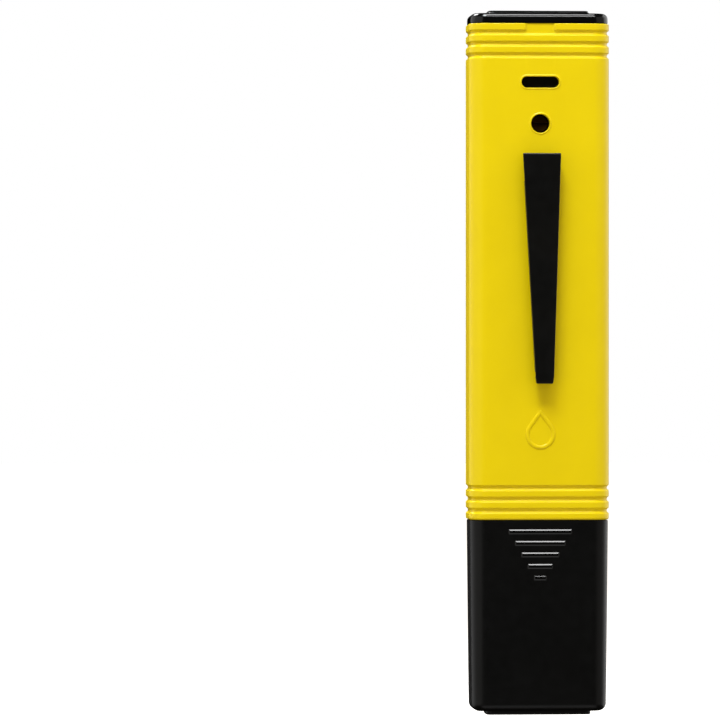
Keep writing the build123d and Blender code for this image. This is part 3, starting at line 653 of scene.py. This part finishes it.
def clip_rows():
    """(z, drawn in, inner y) down the clip: block, gusset, arm, foot and rounded tip."""
    top, root, tip = CLIP_BASE_HIGH.z, CLIP_BASE_LOW.z, CLIP_ARM_LOW.z
    block_low = root + CLIP_BLOCK
    wall = REAR + 0.001
    rows = []
    for inward, along in quarter_round(4)[::-1]:
        rows.append((top - CLIP_EDGE * (1 - along), CLIP_EDGE * inward, wall))
    for z in (122.0, 120.0, block_low + 0.3, block_low):
        rows.append((z, 0.0, wall))
    gusset = CLIP_BASE_HIGH.y - CLIP_THICK - CLIP_GUSSET
    rows.append((block_low - 0.02, 0.0, gusset))
    for drop, along in quarter_round(8)[1:]:
        rows.append((block_low - CLIP_GUSSET * drop, 0.0, gusset + CLIP_GUSSET * along))
    for z in (115.5, 114.7, 113.9, 113.1, 112.3, 111.5, 110.0, 105.0, 98.0, 91.0, 84.0, 78.0, 76.0):
        rows.append((z, 0.0, clip_outer(z) - CLIP_THICK))
    foot = REAR + FOOT_GAP
    above, below = clip_outer(76) - CLIP_THICK - 0.1, clip_outer(75) - CLIP_THICK
    for rise, y in ((2.7, above), (2.55, foot + 0.35), (2.4, foot + 0.1), (2.2, foot), (1.9, foot),
                    (1.75, foot + 0.1), (1.65, foot + 0.4), (1.55, below - 0.1), (1.45, below)):
        rows.append((tip + rise, 0.0, y))
    for inward, along in quarter_round(4):
        z = tip + TIP_EDGE * (1 - along)
        rows.append((z, TIP_EDGE * inward, clip_outer(z) - CLIP_THICK))
    return rows


def clip_outer(z):
    """The clip's outer face as y at a height: level on the block, sloping down the arm."""
    root, tip = CLIP_BASE_LOW.z, CLIP_ARM_LOW.z
    along = max(root - z, 0.0) / (root - tip)
    return CLIP_BASE_HIGH.y + (CLIP_ARM_HIGH.y - CLIP_BASE_HIGH.y) * along


def clip_half_width(z):
    """Half the clip's width at a height, with corners taken off at its tip."""
    top, tip = CLIP_BASE_HIGH.z, CLIP_ARM_LOW.z
    along = (top - z) / (top - tip)
    narrowed = 0.2 * max(tip + TIP_NARROWING - z, 0.0)
    return (CLIP_WIDTH + along * (CLIP_TIP_WIDTH - CLIP_WIDTH)) / 2 - narrowed


def clip_skin():
    """Block, gusset, tapered arm and foot as one springy moulding, made of level sections."""
    top, root, tip = CLIP_BASE_HIGH.z, CLIP_BASE_LOW.z, CLIP_ARM_LOW.z
    loops = []
    for z, drawn, inner in clip_rows():
        outer = clip_outer(z)
        on_foot = inner < outer - CLIP_THICK - 0.5
        y_in = inner + (drawn if z < root else 0.0)
        depth = outer - drawn - y_in
        middle = y_in + depth / 2
        lean = CLIP_LEAN * max(top - z, 0.0) / (top - tip)
        outline = rounded_outline(2 * (clip_half_width(z) - drawn * 0.6), depth, CLIP_CORNER, 4)
        if on_foot:
            outline = [(x * FOOT_SHARE if y < 0 else x, y) for x, y in outline]
        loops.append([(x + lean, middle + y, z) for x, y in outline])
    clip = mesh_object("clip", *loft(loops), None)
    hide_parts("clip_base", "clip_arm")
    crisp(clip, 50)
    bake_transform(clip)
    return clip


# ---- front -----------------------------------------------


def label_outline(drawn, corner):
    """(width, height, corner, z) of the label's outline, drawn in on every side."""
    width = LABEL_HIGH.x - LABEL_LOW.x - 2 * drawn
    height = LABEL_HIGH.z - LABEL_LOW.z - 2 * drawn
    return width, height, corner, (LABEL_HIGH.z + LABEL_LOW.z) / 2


def label_plate():
    """The printed overlay on the front, cut out round the window and the button."""
    outline = label_outline(0.0, LABEL_CORNER)
    holes = [(*LABEL_WINDOW, DISPLAY_HEIGHT), (*LABEL_BUTTON, BUTTON_HEIGHT)]
    face, edge = PRINT_BACK, LABEL_EDGE
    steps = ((0.0, FRONT), (0.0, face + edge), (edge * 0.3, face + edge * 0.3), (edge, face))
    parts = []
    for size, sign in ((outline, -1), (holes[0], 1), (holes[1], 1)):
        parts.append(stepped_hole([(hole_outline(*size, sign * drawn), y) for drawn, y in steps]))
    for y, drawn in ((face, edge), (FRONT, 0.0)):
        cut = [hole_outline(*hole, drawn) for hole in holes]
        parts.append(upright_region(y, hole_outline(*outline, -drawn), cut))
    plate = mesh_object("label", *join(*parts), "root")
    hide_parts("front_label")
    return crisp(plate)


def dish_depth(share):
    """How far the button's dished face lies behind its rim, by the share of the dish's radius."""
    return BUTTON_SAG * (1 - share ** 2)


def button_cap():
    """A soft round button with a dished face, its flange and the nib behind it."""
    face = BUTTON_LOW.y
    flange_front, flange_back = FRONT + WALL + 0.1, FRONT + WALL + 0.7

    def circle(radius, y):
        around = turns(360, 48)[:-1]
        return [(radius * math.cos(turn), y, BUTTON_HEIGHT + radius * math.sin(turn)) for turn in around]

    loops = [circle(BUTTON_NIB, BUTTON_HIGH.y), circle(BUTTON_NIB, flange_back)]
    loops += [circle(BUTTON_FLANGE, flange_back), circle(BUTTON_FLANGE, flange_front)]
    loops.append(circle(BUTTON_RADIUS, flange_front))
    for inward, along in quarter_round(6):
        loops.append(circle(BUTTON_RADIUS - BUTTON_ROUND * inward, face + BUTTON_ROUND * (1 - along)))
    loops.append(circle(BUTTON_RADIUS - 0.5, face + 0.02))
    for share in (1.0, 0.92, 0.82, 0.7, 0.55, 0.4, 0.25, 0.1):
        loops.append(circle(BUTTON_DISH * share, face + BUTTON_RIM + dish_depth(share)))
    button = mesh_object("button_cap", *loft(loops), "button")
    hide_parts("power_button")
    return crisp(button, 50)


# ---- printing on the front, and the display's figures ----


def ribbon(points, width, y_back, closed=False):
    """A printed line of one width along (x, z) points, as a thin solid in front of y_back(x, z)."""
    count = len(points)
    rows = []
    for i, (x, z) in enumerate(points):
        before = points[i - 1] if closed or i else points[i]
        after = points[(i + 1) % count] if closed or i < count - 1 else points[i]
        run = Vector((after[0] - before[0], after[1] - before[1])).normalized()
        dx, dz = run.y * width / 2, -run.x * width / 2
        back = y_back(x, z)
        corners = ((1, back), (-1, back), (-1, back - INK), (1, back - INK))
        rows.append([(x + side * dx, y, z + side * dz) for side, y in corners])
    if not closed:
        return loft(rows)
    rows.append(rows[0])
    return loft(rows, False, False)


def on_label(x, z):
    """The label's front face, as a back for printed lines."""
    return PRINT_BACK


def prism(outline, y_back):
    """A flat printed patch from its (x, z) outline."""
    return loft([[(x, y, z) for x, z in outline] for y in (y_back, y_back - INK)])


def arc_points(radius, start, end, centre, steps=36):
    """Points as (x, z) along an arc, by angles in degrees from +X."""
    points = []
    for step in range(steps + 1):
        angle = math.radians(start + (end - start) * step / steps)
        points.append((centre[0] + radius * math.cos(angle), centre[1] + radius * math.sin(angle)))
    return points


# The stroke of each printed figure, in a box one high about its middle line.
FIGURE_STROKES = {
    "0": [(0.3 * math.cos(turn), 0.5 + 0.5 * math.sin(turn)) for turn in turns(360, 24)],
    "1": [(-0.18, 0.8), (0.04, 1.0), (0.04, 0.0)],
    "4": [(0.16, 0.0), (0.16, 1.0), (-0.32, 0.3), (0.34, 0.3)],
    "7": [(-0.3, 1.0), (0.3, 1.0), (-0.08, 0.0)],
}


def figures(number, x, z, height, width):
    """A short number printed with its lower middle at (x, z)."""
    pitch = 0.85 * height
    start = x - pitch * (len(number) - 1) / 2
    parts = []
    for place, figure in enumerate(number):
        middle = start + place * pitch
        points = [(middle + sx * height, z + sz * height) for sx, sz in FIGURE_STROKES[figure]]
        parts.append(ribbon(points, width, on_label))
    return parts


def scale_places():
    """Middles of the colour scale's steps, from 0 to 14."""
    return [SCALE_PITCH * (step - (SCALE_STEPS - 1) / 2) for step in range(SCALE_STEPS)]


def pale_print():
    """Pale lines on the label: its border, lines round the window and button, the scale's numbers."""
    border = hole_outline(*label_outline(BORDER_INSET, BORDER_CORNER))
    window_line = hole_outline(*FRAME_SIZE, DISPLAY_HEIGHT)
    button_line = arc_points(RING_RADIUS, 0, 354, (0, BUTTON_HEIGHT), 59)
    parts = [ribbon(line, width, on_label, True)
             for line, width in ((border, 0.18), (window_line, 0.3), (button_line, 0.35))]
    places = scale_places()
    for number in (0, 7, 14):
        parts += figures(str(number), places[number], SCALE_HEIGHT - 4.6, 1.7, 0.26)
    tick_low = SCALE_HEIGHT - 2.5
    for x in places:
        parts.append(ribbon([(x, tick_low), (x, tick_low + 0.6)], 0.14, on_label))
    lines = mesh_object("label_lines", *join(*parts), "root", smooth=False)
    return lines


def colour_scale():
    """The colour steps of an indicator scale."""
    width, height, corner = CHIP_SIZE
    parts = []
    for x in scale_places():
        outline = [(x + dx, SCALE_HEIGHT + dz) for dx, dz in rounded_outline(width, height, corner, 4)]
        parts.append(prism(outline, PRINT_BACK))
    chips = mesh_object("label_colour_scale", *join(*parts), "root", smooth=False)
    return chips


def segment(length, x, z, upright):
    """One pointed bar of a display figure."""
    half, bite = length / 2, SEGMENT_THICK / 2
    points = [(half, 0), (half - bite, bite), (bite - half, bite)]
    points += [(-dx, -dz) for dx, dz in points]
    if upright:
        points = [(-dz, dx) for dx, dz in points]
    return [(x + dx, z + dz) for dx, dz in points]


def display_figures():
    """The reading 7.00 in seven-segment figures, on the display's front film."""
    half_wide, half_high = FIGURE_WIDTH / 2, FIGURE_HEIGHT / 2
    bars = {
        "a": (0, half_high, False), "d": (0, -half_high, False),
        "b": (half_wide, half_high / 2, True), "c": (half_wide, -half_high / 2, True),
        "e": (-half_wide, -half_high / 2, True), "f": (-half_wide, half_high / 2, True),
    }
    lit = {"7": "abc", "0": "abcdef"}
    y_back = FILM_LOW.y - 0.01
    parts = []
    for place, figure in ((-4.9, "7"), (0.6, "0"), (5.5, "0")):
        for bar in lit[figure]:
            dx, dz, upright = bars[bar]
            length = (half_high if upright else FIGURE_WIDTH) - SEGMENT_GAP
            outline = segment(length, place + dx, dz, upright)
            parts.append(prism([(x + z * FIGURE_SLANT, DISPLAY_HEIGHT + z) for x, z in outline], y_back))
    point_x = -2.3 - half_high * FIGURE_SLANT
    point = [(point_x + x, DISPLAY_HEIGHT - half_high + z) for x, z in rounded_outline(0.8, 0.8, 0.15, 3)]
    parts.append(prism(point, y_back))
    shown = mesh_object("display_figures", *join(*parts), "root", smooth=False)
    return shown


def button_symbol():
    """The usual on and off symbol, printed in the button's dish."""
    def dish(x, z):
        share = math.hypot(x, z - BUTTON_HEIGHT) / BUTTON_DISH
        return BUTTON_LOW.y + BUTTON_RIM + dish_depth(share) - 0.01

    middle = BUTTON_HEIGHT - 0.1
    stroke = [(0, middle + rise) for rise in (0.35, 1.0, 1.75)]
    lines = [arc_points(1.45, 125, 415, (0, middle)), stroke]
    parts = [ribbon(line, 0.3, dish) for line in lines]
    symbol = mesh_object("button_symbol", *join(*parts), "button", smooth=False)
    return symbol


# ---- materials -------------------------------------------


def new_material(name):
    """A material with its node tree and its main shader."""
    material = bpy.data.materials.new(name)
    material.use_nodes = True
    tree = material.node_tree
    return material, tree, tree.nodes["Principled BSDF"]


def feed(tree, node, inputs):
    """Gives a node its inputs: links from other nodes' outputs, and plain values."""
    for name, value in inputs.items():
        if isinstance(value, bpy.types.NodeSocket):
            tree.links.new(value, node.inputs[name])
        else:
            node.inputs[name].default_value = value


def add_node(tree, kind, inputs=None):
    """A new node of a kind, with its inputs."""
    node = tree.nodes.new("ShaderNode" + kind)
    feed(tree, node, inputs or {})
    return node


def noise(tree, scale, detail=3.0, roughness=0.55, stretch=(1.0, 1.0, 1.0)):
    """A noise texture in the object's own space; scale counts features over a metre."""
    where = add_node(tree, "TexCoord").outputs["Object"]
    place = add_node(tree, "Mapping", {"Scale": stretch, "Vector": where}).outputs["Vector"]
    inputs = {"Scale": scale, "Detail": detail, "Roughness": roughness, "Vector": place}
    return add_node(tree, "TexNoise", inputs).outputs["Fac"]


def remap(tree, value, low, high, start=0.3, end=0.7):
    """A value spread over a new range."""
    inputs = {"From Min": start, "From Max": end, "To Min": low, "To Max": high, "Value": value}
    return add_node(tree, "MapRange", inputs).outputs["Result"]


def blended(tree, factor, first, second):
    """A colour between two, by a factor."""
    node = add_node(tree, "Mix")
    node.data_type = "RGBA"
    feed(tree, node, {0: factor, 6: (*first, 1.0), 7: (*second, 1.0)})
    return node.outputs[2]


def bumped(tree, shader, layers, bevel=0.0):
    """Stacks bump layers of (height value, distance in mm, strength) onto the shader's normal."""
    below = {}
    if bevel:
        node = add_node(tree, "Bevel", {"Radius": bevel * MM})
        node.samples = 6
        below = {"Normal": node.outputs["Normal"]}
    for value, distance, strength in layers:
        inputs = {"Distance": distance * MM, "Strength": strength, "Height": value, **below}
        below = {"Normal": add_node(tree, "Bump", inputs).outputs["Normal"]}
    feed(tree, shader, below)


def plastic(name, dark, light, rough, grain, grain_depth, specular=0.5, bevel=0.0, waviness=0.0,
            marks=True):
    """Moulded plastic: slight colour drift, uneven gloss, fine grain and faint handling marks."""
    material, tree, shader = new_material(name)
    drift = remap(tree, noise(tree, 90, 4.0), 0.0, 1.0)
    gloss = remap(tree, noise(tree, 420, 5.0, 0.65), *rough)
    feed(tree, shader, {"Base Color": blended(tree, drift, dark, light), "Roughness": gloss,
                        "Specular IOR Level": specular})
    layers = [(noise(tree, grain, 2.0, 0.5), grain_depth, 0.35)]
    if waviness:
        layers.append((noise(tree, 60, 2.0, 0.4), waviness, 0.25))
    if marks:
        layers.append((noise(tree, 700, 3.0, 0.6, (1.0, 1.0, 0.08)), 0.004, 0.2))
    bumped(tree, shader, layers, bevel)
    return material


SCALE_COLOURS = ((0.60, 0.02, 0.02), (0.75, 0.16, 0.01), (0.80, 0.50, 0.02), (0.16, 0.42, 0.05),
                 (0.02, 0.24, 0.17), (0.02, 0.10, 0.34), (0.12, 0.03, 0.28))


def scale_inks():
    """Inks that run through an indicator's colours from side to side."""
    material, tree, shader = new_material("scale_inks")
    where = add_node(tree, "TexCoord").outputs["Object"]
    across = add_node(tree, "SeparateXYZ", {"Vector": where}).outputs["X"]
    half = SCALE_PITCH * SCALE_STEPS / 2 * MM
    ramp = add_node(tree, "ValToRGB", {"Fac": remap(tree, across, 0.0, 1.0, -half, half)})
    elements = ramp.color_ramp.elements
    while len(elements) < len(SCALE_COLOURS):
        elements.new(0.5)
    for place, (element, colour) in enumerate(zip(elements, SCALE_COLOURS)):
        element.position = place / (len(SCALE_COLOURS) - 1)
        element.color = (*colour, 1.0)
    gloss = remap(tree, noise(tree, 420, 5.0, 0.65), 0.38, 0.5)
    feed(tree, shader, {"Base Color": ramp.outputs["Color"], "Roughness": gloss})
    bumped(tree, shader, [(noise(tree, 14000, 2.0), 0.003, 0.3)])
    return material


def metal(name, colour, rough, stretch=(1.0, 1.0, 1.0)):
    """Worn metal: brushed or drawn along one way, with tarnish in patches."""
    material, tree, shader = new_material(name)
    tarnish = remap(tree, noise(tree, 500, 5.0, 0.6), 0.0, 1.0)
    dull = tuple(0.55 * c for c in colour)
    gloss = remap(tree, noise(tree, 1500, 3.0, 0.6, stretch), *rough)
    feed(tree, shader, {"Base Color": blended(tree, tarnish, dull, colour), "Roughness": gloss,
                        "Metallic": 1.0})
    bumped(tree, shader, [(noise(tree, 4000, 2.0, 0.5, stretch), 0.006, 0.4)], 0.08)
    return material


def clear(name, tint, rough, ior):
    """Clear glass or acrylic with a trace of smears."""
    material, tree, shader = new_material(name)
    gloss = remap(tree, noise(tree, 260, 4.0, 0.6), *rough)
    feed(tree, shader, {"Base Color": (*tint, 1.0), "Transmission Weight": 1.0, "IOR": ior,
                        "Roughness": gloss})
    bumped(tree, shader, [(noise(tree, 120, 2.0), 0.01, 0.1)])
    return material


def paint(obj, material):
    """Gives an object one material."""
    obj.data.materials.clear()
    obj.data.materials.append(material)


def make_materials():
    """The material of each slot, with three inks and a polished black besides."""
    black = (0.0020, 0.0020, 0.0020)
    return {
        "yellow_shell": plastic(
            "yellow_moulding", (0.79, 0.602, 0.0006), (0.82, 0.63, 0.0010), (0.28, 0.36), 9000, 0.004, 0.26,
            waviness=0.012),
        "black_plastic": plastic(
            "black_moulding", black, (0.0028, 0.0028, 0.0029), (0.32, 0.40), 11000, 0.005, 0.28),
        "black_polished": plastic(
            "black_polished", black, (0.0036, 0.0036, 0.0037), (0.10, 0.14), 11000, 0.0006, marks=False),
        "pale_ink": plastic("pale_ink", (0.62, 0.63, 0.62), (0.70, 0.71, 0.70), (0.4, 0.5), 14000, 0.004),
        "scale_inks": scale_inks(),
        "display_ink": plastic(
            "display_ink", (0.012, 0.014, 0.012), (0.02, 0.022, 0.02), (0.2, 0.3), 14000, 0.001),
        "clip_plastic": plastic(
            "clip_moulding", black, (0.0036, 0.0034, 0.003), (0.30, 0.38), 9000, 0.006, 0.35),
        "label_overlay": plastic(
            "printed_film", (0.018, 0.021, 0.026), (0.024, 0.027, 0.033), (0.32, 0.42), 14000, 0.01),
        "clear_window": clear("acrylic_lens", (1.0, 1.0, 1.0), (0.01, 0.05), 1.49),
        "display_film": plastic(
            "polariser", (0.30, 0.34, 0.27), (0.33, 0.37, 0.30), (0.18, 0.26), 15000, 0.002),
        "lcd_glass": plastic(
            "display_glass", (0.32, 0.36, 0.30), (0.36, 0.40, 0.34), (0.08, 0.15), 9000, 0.002, bevel=0.1),
        "white_plastic": plastic(
            "white_moulding", (0.70, 0.70, 0.67), (0.78, 0.78, 0.75), (0.4, 0.5), 9000, 0.01, bevel=0.15),
        "connector_rubber": plastic(
            "elastomer", (0.45, 0.42, 0.38), (0.62, 0.58, 0.52), (0.6, 0.75), 8000, 0.02, 0.3, 0.1),
        "board_laminate": plastic(
            "solder_mask", (0.008, 0.075, 0.025), (0.014, 0.10, 0.035), (0.25, 0.4), 5000, 0.012, bevel=0.1),
        "black_resin": plastic(
            "potting_dome", (0.010, 0.010, 0.011), (0.02, 0.02, 0.021), (0.18, 0.32), 2500, 0.02),
        "chip_body": plastic(
            "chip_moulding", (0.02, 0.02, 0.021), (0.035, 0.035, 0.035), (0.5, 0.62), 12000, 0.01,
            bevel=0.08),
        "resistor_ceramic": plastic(
            "chip_resistor", (0.02, 0.02, 0.024), (0.05, 0.05, 0.055), (0.35, 0.5), 9000, 0.01, bevel=0.06),
        "capacitor_ceramic": plastic(
            "chip_capacitor", (0.30, 0.19, 0.10), (0.40, 0.27, 0.15), (0.4, 0.5), 9000, 0.01, bevel=0.06),
        "aluminium_can": metal("drawn_can", (0.80, 0.80, 0.82), (0.22, 0.38), (1.0, 0.1, 1.0)),
        "contact_bronze": metal("sprung_bronze", (0.72, 0.50, 0.26), (0.25, 0.42), (1.0, 1.0, 0.15)),
        "button_rubber": plastic(
            "soft_button", (0.50, 0.030, 0.020), (0.58, 0.040, 0.026), (0.48, 0.6), 8000, 0.02),
        "switch_plastic": plastic(
            "switch_moulding", (0.015, 0.015, 0.016), (0.03, 0.03, 0.03), (0.4, 0.5), 9000, 0.01, bevel=0.1),
        "trimmer_plastic": plastic(
            "trimmer_moulding", (0.01, 0.014, 0.03), (0.016, 0.02, 0.045), (0.3, 0.45), 9000, 0.01,
            bevel=0.1),
        # The trimmer screw is brass, but its colour is darkened well below brass as painted shade for the
        # deep hole it sits in.
        "trimmer_brass": metal("brass_darkened_as_painted_shade", (0.10, 0.055, 0.02), (0.35, 0.55)),
        "cell_steel": metal("cell_can", (0.62, 0.61, 0.58), (0.16, 0.32), (0.05, 1.0, 1.0)),
        "electrode_glass": clear("electrode_tube", (0.93, 0.98, 0.97), (0.0, 0.02), 1.5),
        "silver_wire": metal("chlorided_silver", (0.66, 0.64, 0.62), (0.3, 0.5)),
        "junction_ceramic": plastic(
            "porous_ceramic", (0.66, 0.63, 0.56), (0.80, 0.77, 0.70), (0.75, 0.9), 6000, 0.05, 0.3, 0.1),
        "potting_resin": plastic(
            "cast_resin", (0.035, 0.03, 0.025), (0.06, 0.05, 0.04), (0.3, 0.45), 1500, 0.04, bevel=0.1),
        "seal_rubber": plastic(
            "seal_ring", (0.012, 0.012, 0.012), (0.02, 0.02, 0.02), (0.5, 0.65), 9000, 0.01),
        "red_insulation": plastic(
            "red_lead", (0.45, 0.012, 0.010), (0.55, 0.02, 0.015), (0.35, 0.5), 6000, 0.01),
        "white_insulation": plastic(
            "white_lead", (0.68, 0.68, 0.68), (0.78, 0.78, 0.78), (0.35, 0.5), 6000, 0.01),
        "sponge_foam": plastic(
            "open_foam", (0.62, 0.50, 0.16), (0.85, 0.76, 0.36), (0.85, 0.95), 2600, 0.25, 0.2),
    }


# ---- studio ----------------------------------------------

# Metres and degrees from here on.
SCENE_CENTRE = Vector((0.0, 0.0, 0.0781))
FLOOR = -0.06  # under the protective cap when it is pulled right off
FLOOR_REACH = 6.0
LIGHT_ABOVE = (0.49, 0.43, 0.34)
LIGHT_BELOW = (0.34, 0.285, 0.21)
CAMERA_DISTANCE = 1.2
CAMERA_TURN = 4.0
CAMERA_ASIDE = 0.0391  # how far the meter stands to one side of the middle of the view
VIEW_HEIGHT = 0.1580  # what the view holds at the plane of the meter's back
SENSOR = 36.0  # in millimetres


def area_light(name, place, target, size, power, colour=(1.0, 1.0, 1.0)):
    """A rectangular soft box that faces a target."""
    data = bpy.data.lights.new(name, "AREA")
    data.shape = "RECTANGLE"
    data.size, data.size_y = size
    data.energy = power
    data.color = colour
    light = bpy.data.objects.new(name, data)
    light.location = place
    light.rotation_euler = (Vector(target) - Vector(place)).to_track_quat("-Z", "Y").to_euler()
    bpy.context.scene.collection.objects.link(light)


def studio_floor():
    """A wide pale floor. Only the camera sees it, so that black parts stay black in a white studio."""
    signs = ((-1, -1), (1, -1), (1, 1), (-1, 1))
    corners = [(FLOOR_REACH * x, FLOOR_REACH * y, FLOOR) for x, y in signs]
    mesh = bpy.data.meshes.new("studio_floor")
    mesh.from_pydata(corners, [], [(0, 1, 2, 3)])
    floor = bpy.data.objects.new("studio_floor", mesh)
    bpy.context.scene.collection.objects.link(floor)
    material, tree, shader = new_material("studio_paper")
    feed(tree, shader, {"Base Color": (0.94, 0.94, 0.94, 1.0), "Roughness": 0.9,
                        "Specular IOR Level": 0.1, "Emission Color": (1.0, 1.0, 1.0, 1.0),
                        "Emission Strength": 0.72})
    floor.data.materials.append(material)
    floor.visible_diffuse = False
    floor.visible_glossy = False
    floor.visible_shadow = False


def make_camera():
    """A long lens level with the middle of the meter, which it sees from behind and a little aside."""
    data = bpy.data.cameras.new("camera")
    data.sensor_width = SENSOR
    data.lens = SENSOR * (CAMERA_DISTANCE - REAR * MM) / VIEW_HEIGHT
    data.clip_start = 0.05
    data.clip_end = 20.0
    turn = math.radians(CAMERA_TURN)
    forward = Vector((-math.sin(turn), -math.cos(turn), 0.0))
    right = Vector((-math.cos(turn), math.sin(turn), 0.0))
    camera = bpy.data.objects.new("camera", data)
    camera.location = SCENE_CENTRE - CAMERA_DISTANCE * forward - CAMERA_ASIDE * right
    camera.rotation_euler = forward.to_track_quat("-Z", "Y").to_euler()
    bpy.context.scene.collection.objects.link(camera)
    bpy.context.scene.camera = camera


def make_world():
    """Soft light from all round, a little weaker from below, in front of a white surround."""
    world = bpy.data.worlds.new("studio")
    world.use_nodes = True
    tree = world.node_tree
    where = add_node(tree, "TexCoord").outputs["Generated"]
    up = add_node(tree, "SeparateXYZ", {"Vector": where}).outputs["Z"]
    height = remap(tree, up, 0.0, 1.0, -0.4, 0.4)
    ambient = tree.nodes["Background"]
    feed(tree, ambient, {"Color": blended(tree, height, LIGHT_BELOW, LIGHT_ABOVE)})
    surround = add_node(tree, "Background", {"Color": (1.0, 1.0, 1.0, 1.0)})
    to_camera = add_node(tree, "LightPath").outputs["Is Camera Ray"]
    mix = add_node(tree, "MixShader", {0: to_camera, 1: ambient.outputs[0], 2: surround.outputs[0]})
    feed(tree, tree.nodes["World Output"], {"Surface": mix.outputs[0]})
    bpy.context.scene.world = world
    world.cycles_visibility.glossy = False
    bpy.context.scene.view_settings.view_transform = "Standard"


def make_lights():
    """Soft boxes set well to the sides of the view, so that their gloss stays on edges."""
    aim = SCENE_CENTRE
    area_light("key", aim + Vector((0.20, 0.42, 0.86)), aim, (0.30, 0.30), 5.6, (0.91, 1.0, 1.0))
    area_light("overhead", (0.0, 0.05, 1.1), (0.0, 0.0, 0.15), (0.4, 0.25), 4.0)
    area_light("edge_strip", aim + Vector((0.0, 0.60, 0.80)), aim, (0.55, 0.12), 3.4)
    area_light("left_box", aim + Vector((0.90, 0.42, 0.15)), aim, (1.3, 1.2), 2.7, (1.0, 0.98, 0.95))
    area_light("right_box", aim + Vector((-0.90, 0.42, 0.15)), aim, (1.3, 1.2), 1.7, (1.0, 0.97, 0.93))
    area_light("low_box", (0.0, 0.38, -0.40), (0.0, 0.0, 0.05), (0.6, 0.4), 0.5)
    area_light("front_key", aim + Vector((0.45, -0.55, 0.80)), aim, (0.30, 0.30), 7.2)
    area_light("front_left", aim + Vector((-0.90, -0.55, 0.15)), aim, (1.0, 1.4), 6.6)
    area_light("front_right", aim + Vector((0.90, -0.55, 0.15)), aim, (1.0, 1.4), 3.4)


# ---- assembly --------------------------------------------


def main():
    """Makes and paints every piece, then the studio round them."""
    materials = make_materials()
    pieces = {
        "yellow_shell": [yellow_sleeve()],
        "black_plastic": [bottom_cap()],
        "black_polished": [top_cap(), grip_bars()],
        "pale_ink": [pale_print(), button_symbol()],
        "scale_inks": [colour_scale()],
        "display_ink": [display_figures()],
        "clip_plastic": [clip_skin()],
        "label_overlay": [label_plate()],
        "button_rubber": [button_cap()],
        "sponge_foam": [storage_sponge()],
    }
    for slot_name, made in pieces.items():
        for piece in made:
            paint(piece, materials[slot_name])
    slots = {row["node"]: row["material_slot"] for row in frame["record"]["subparts"]}
    for node, obj in frame["nodes"].items():
        paint(obj, materials[slots[node]])
    make_world()
    make_lights()
    studio_floor()
    make_camera()


main()
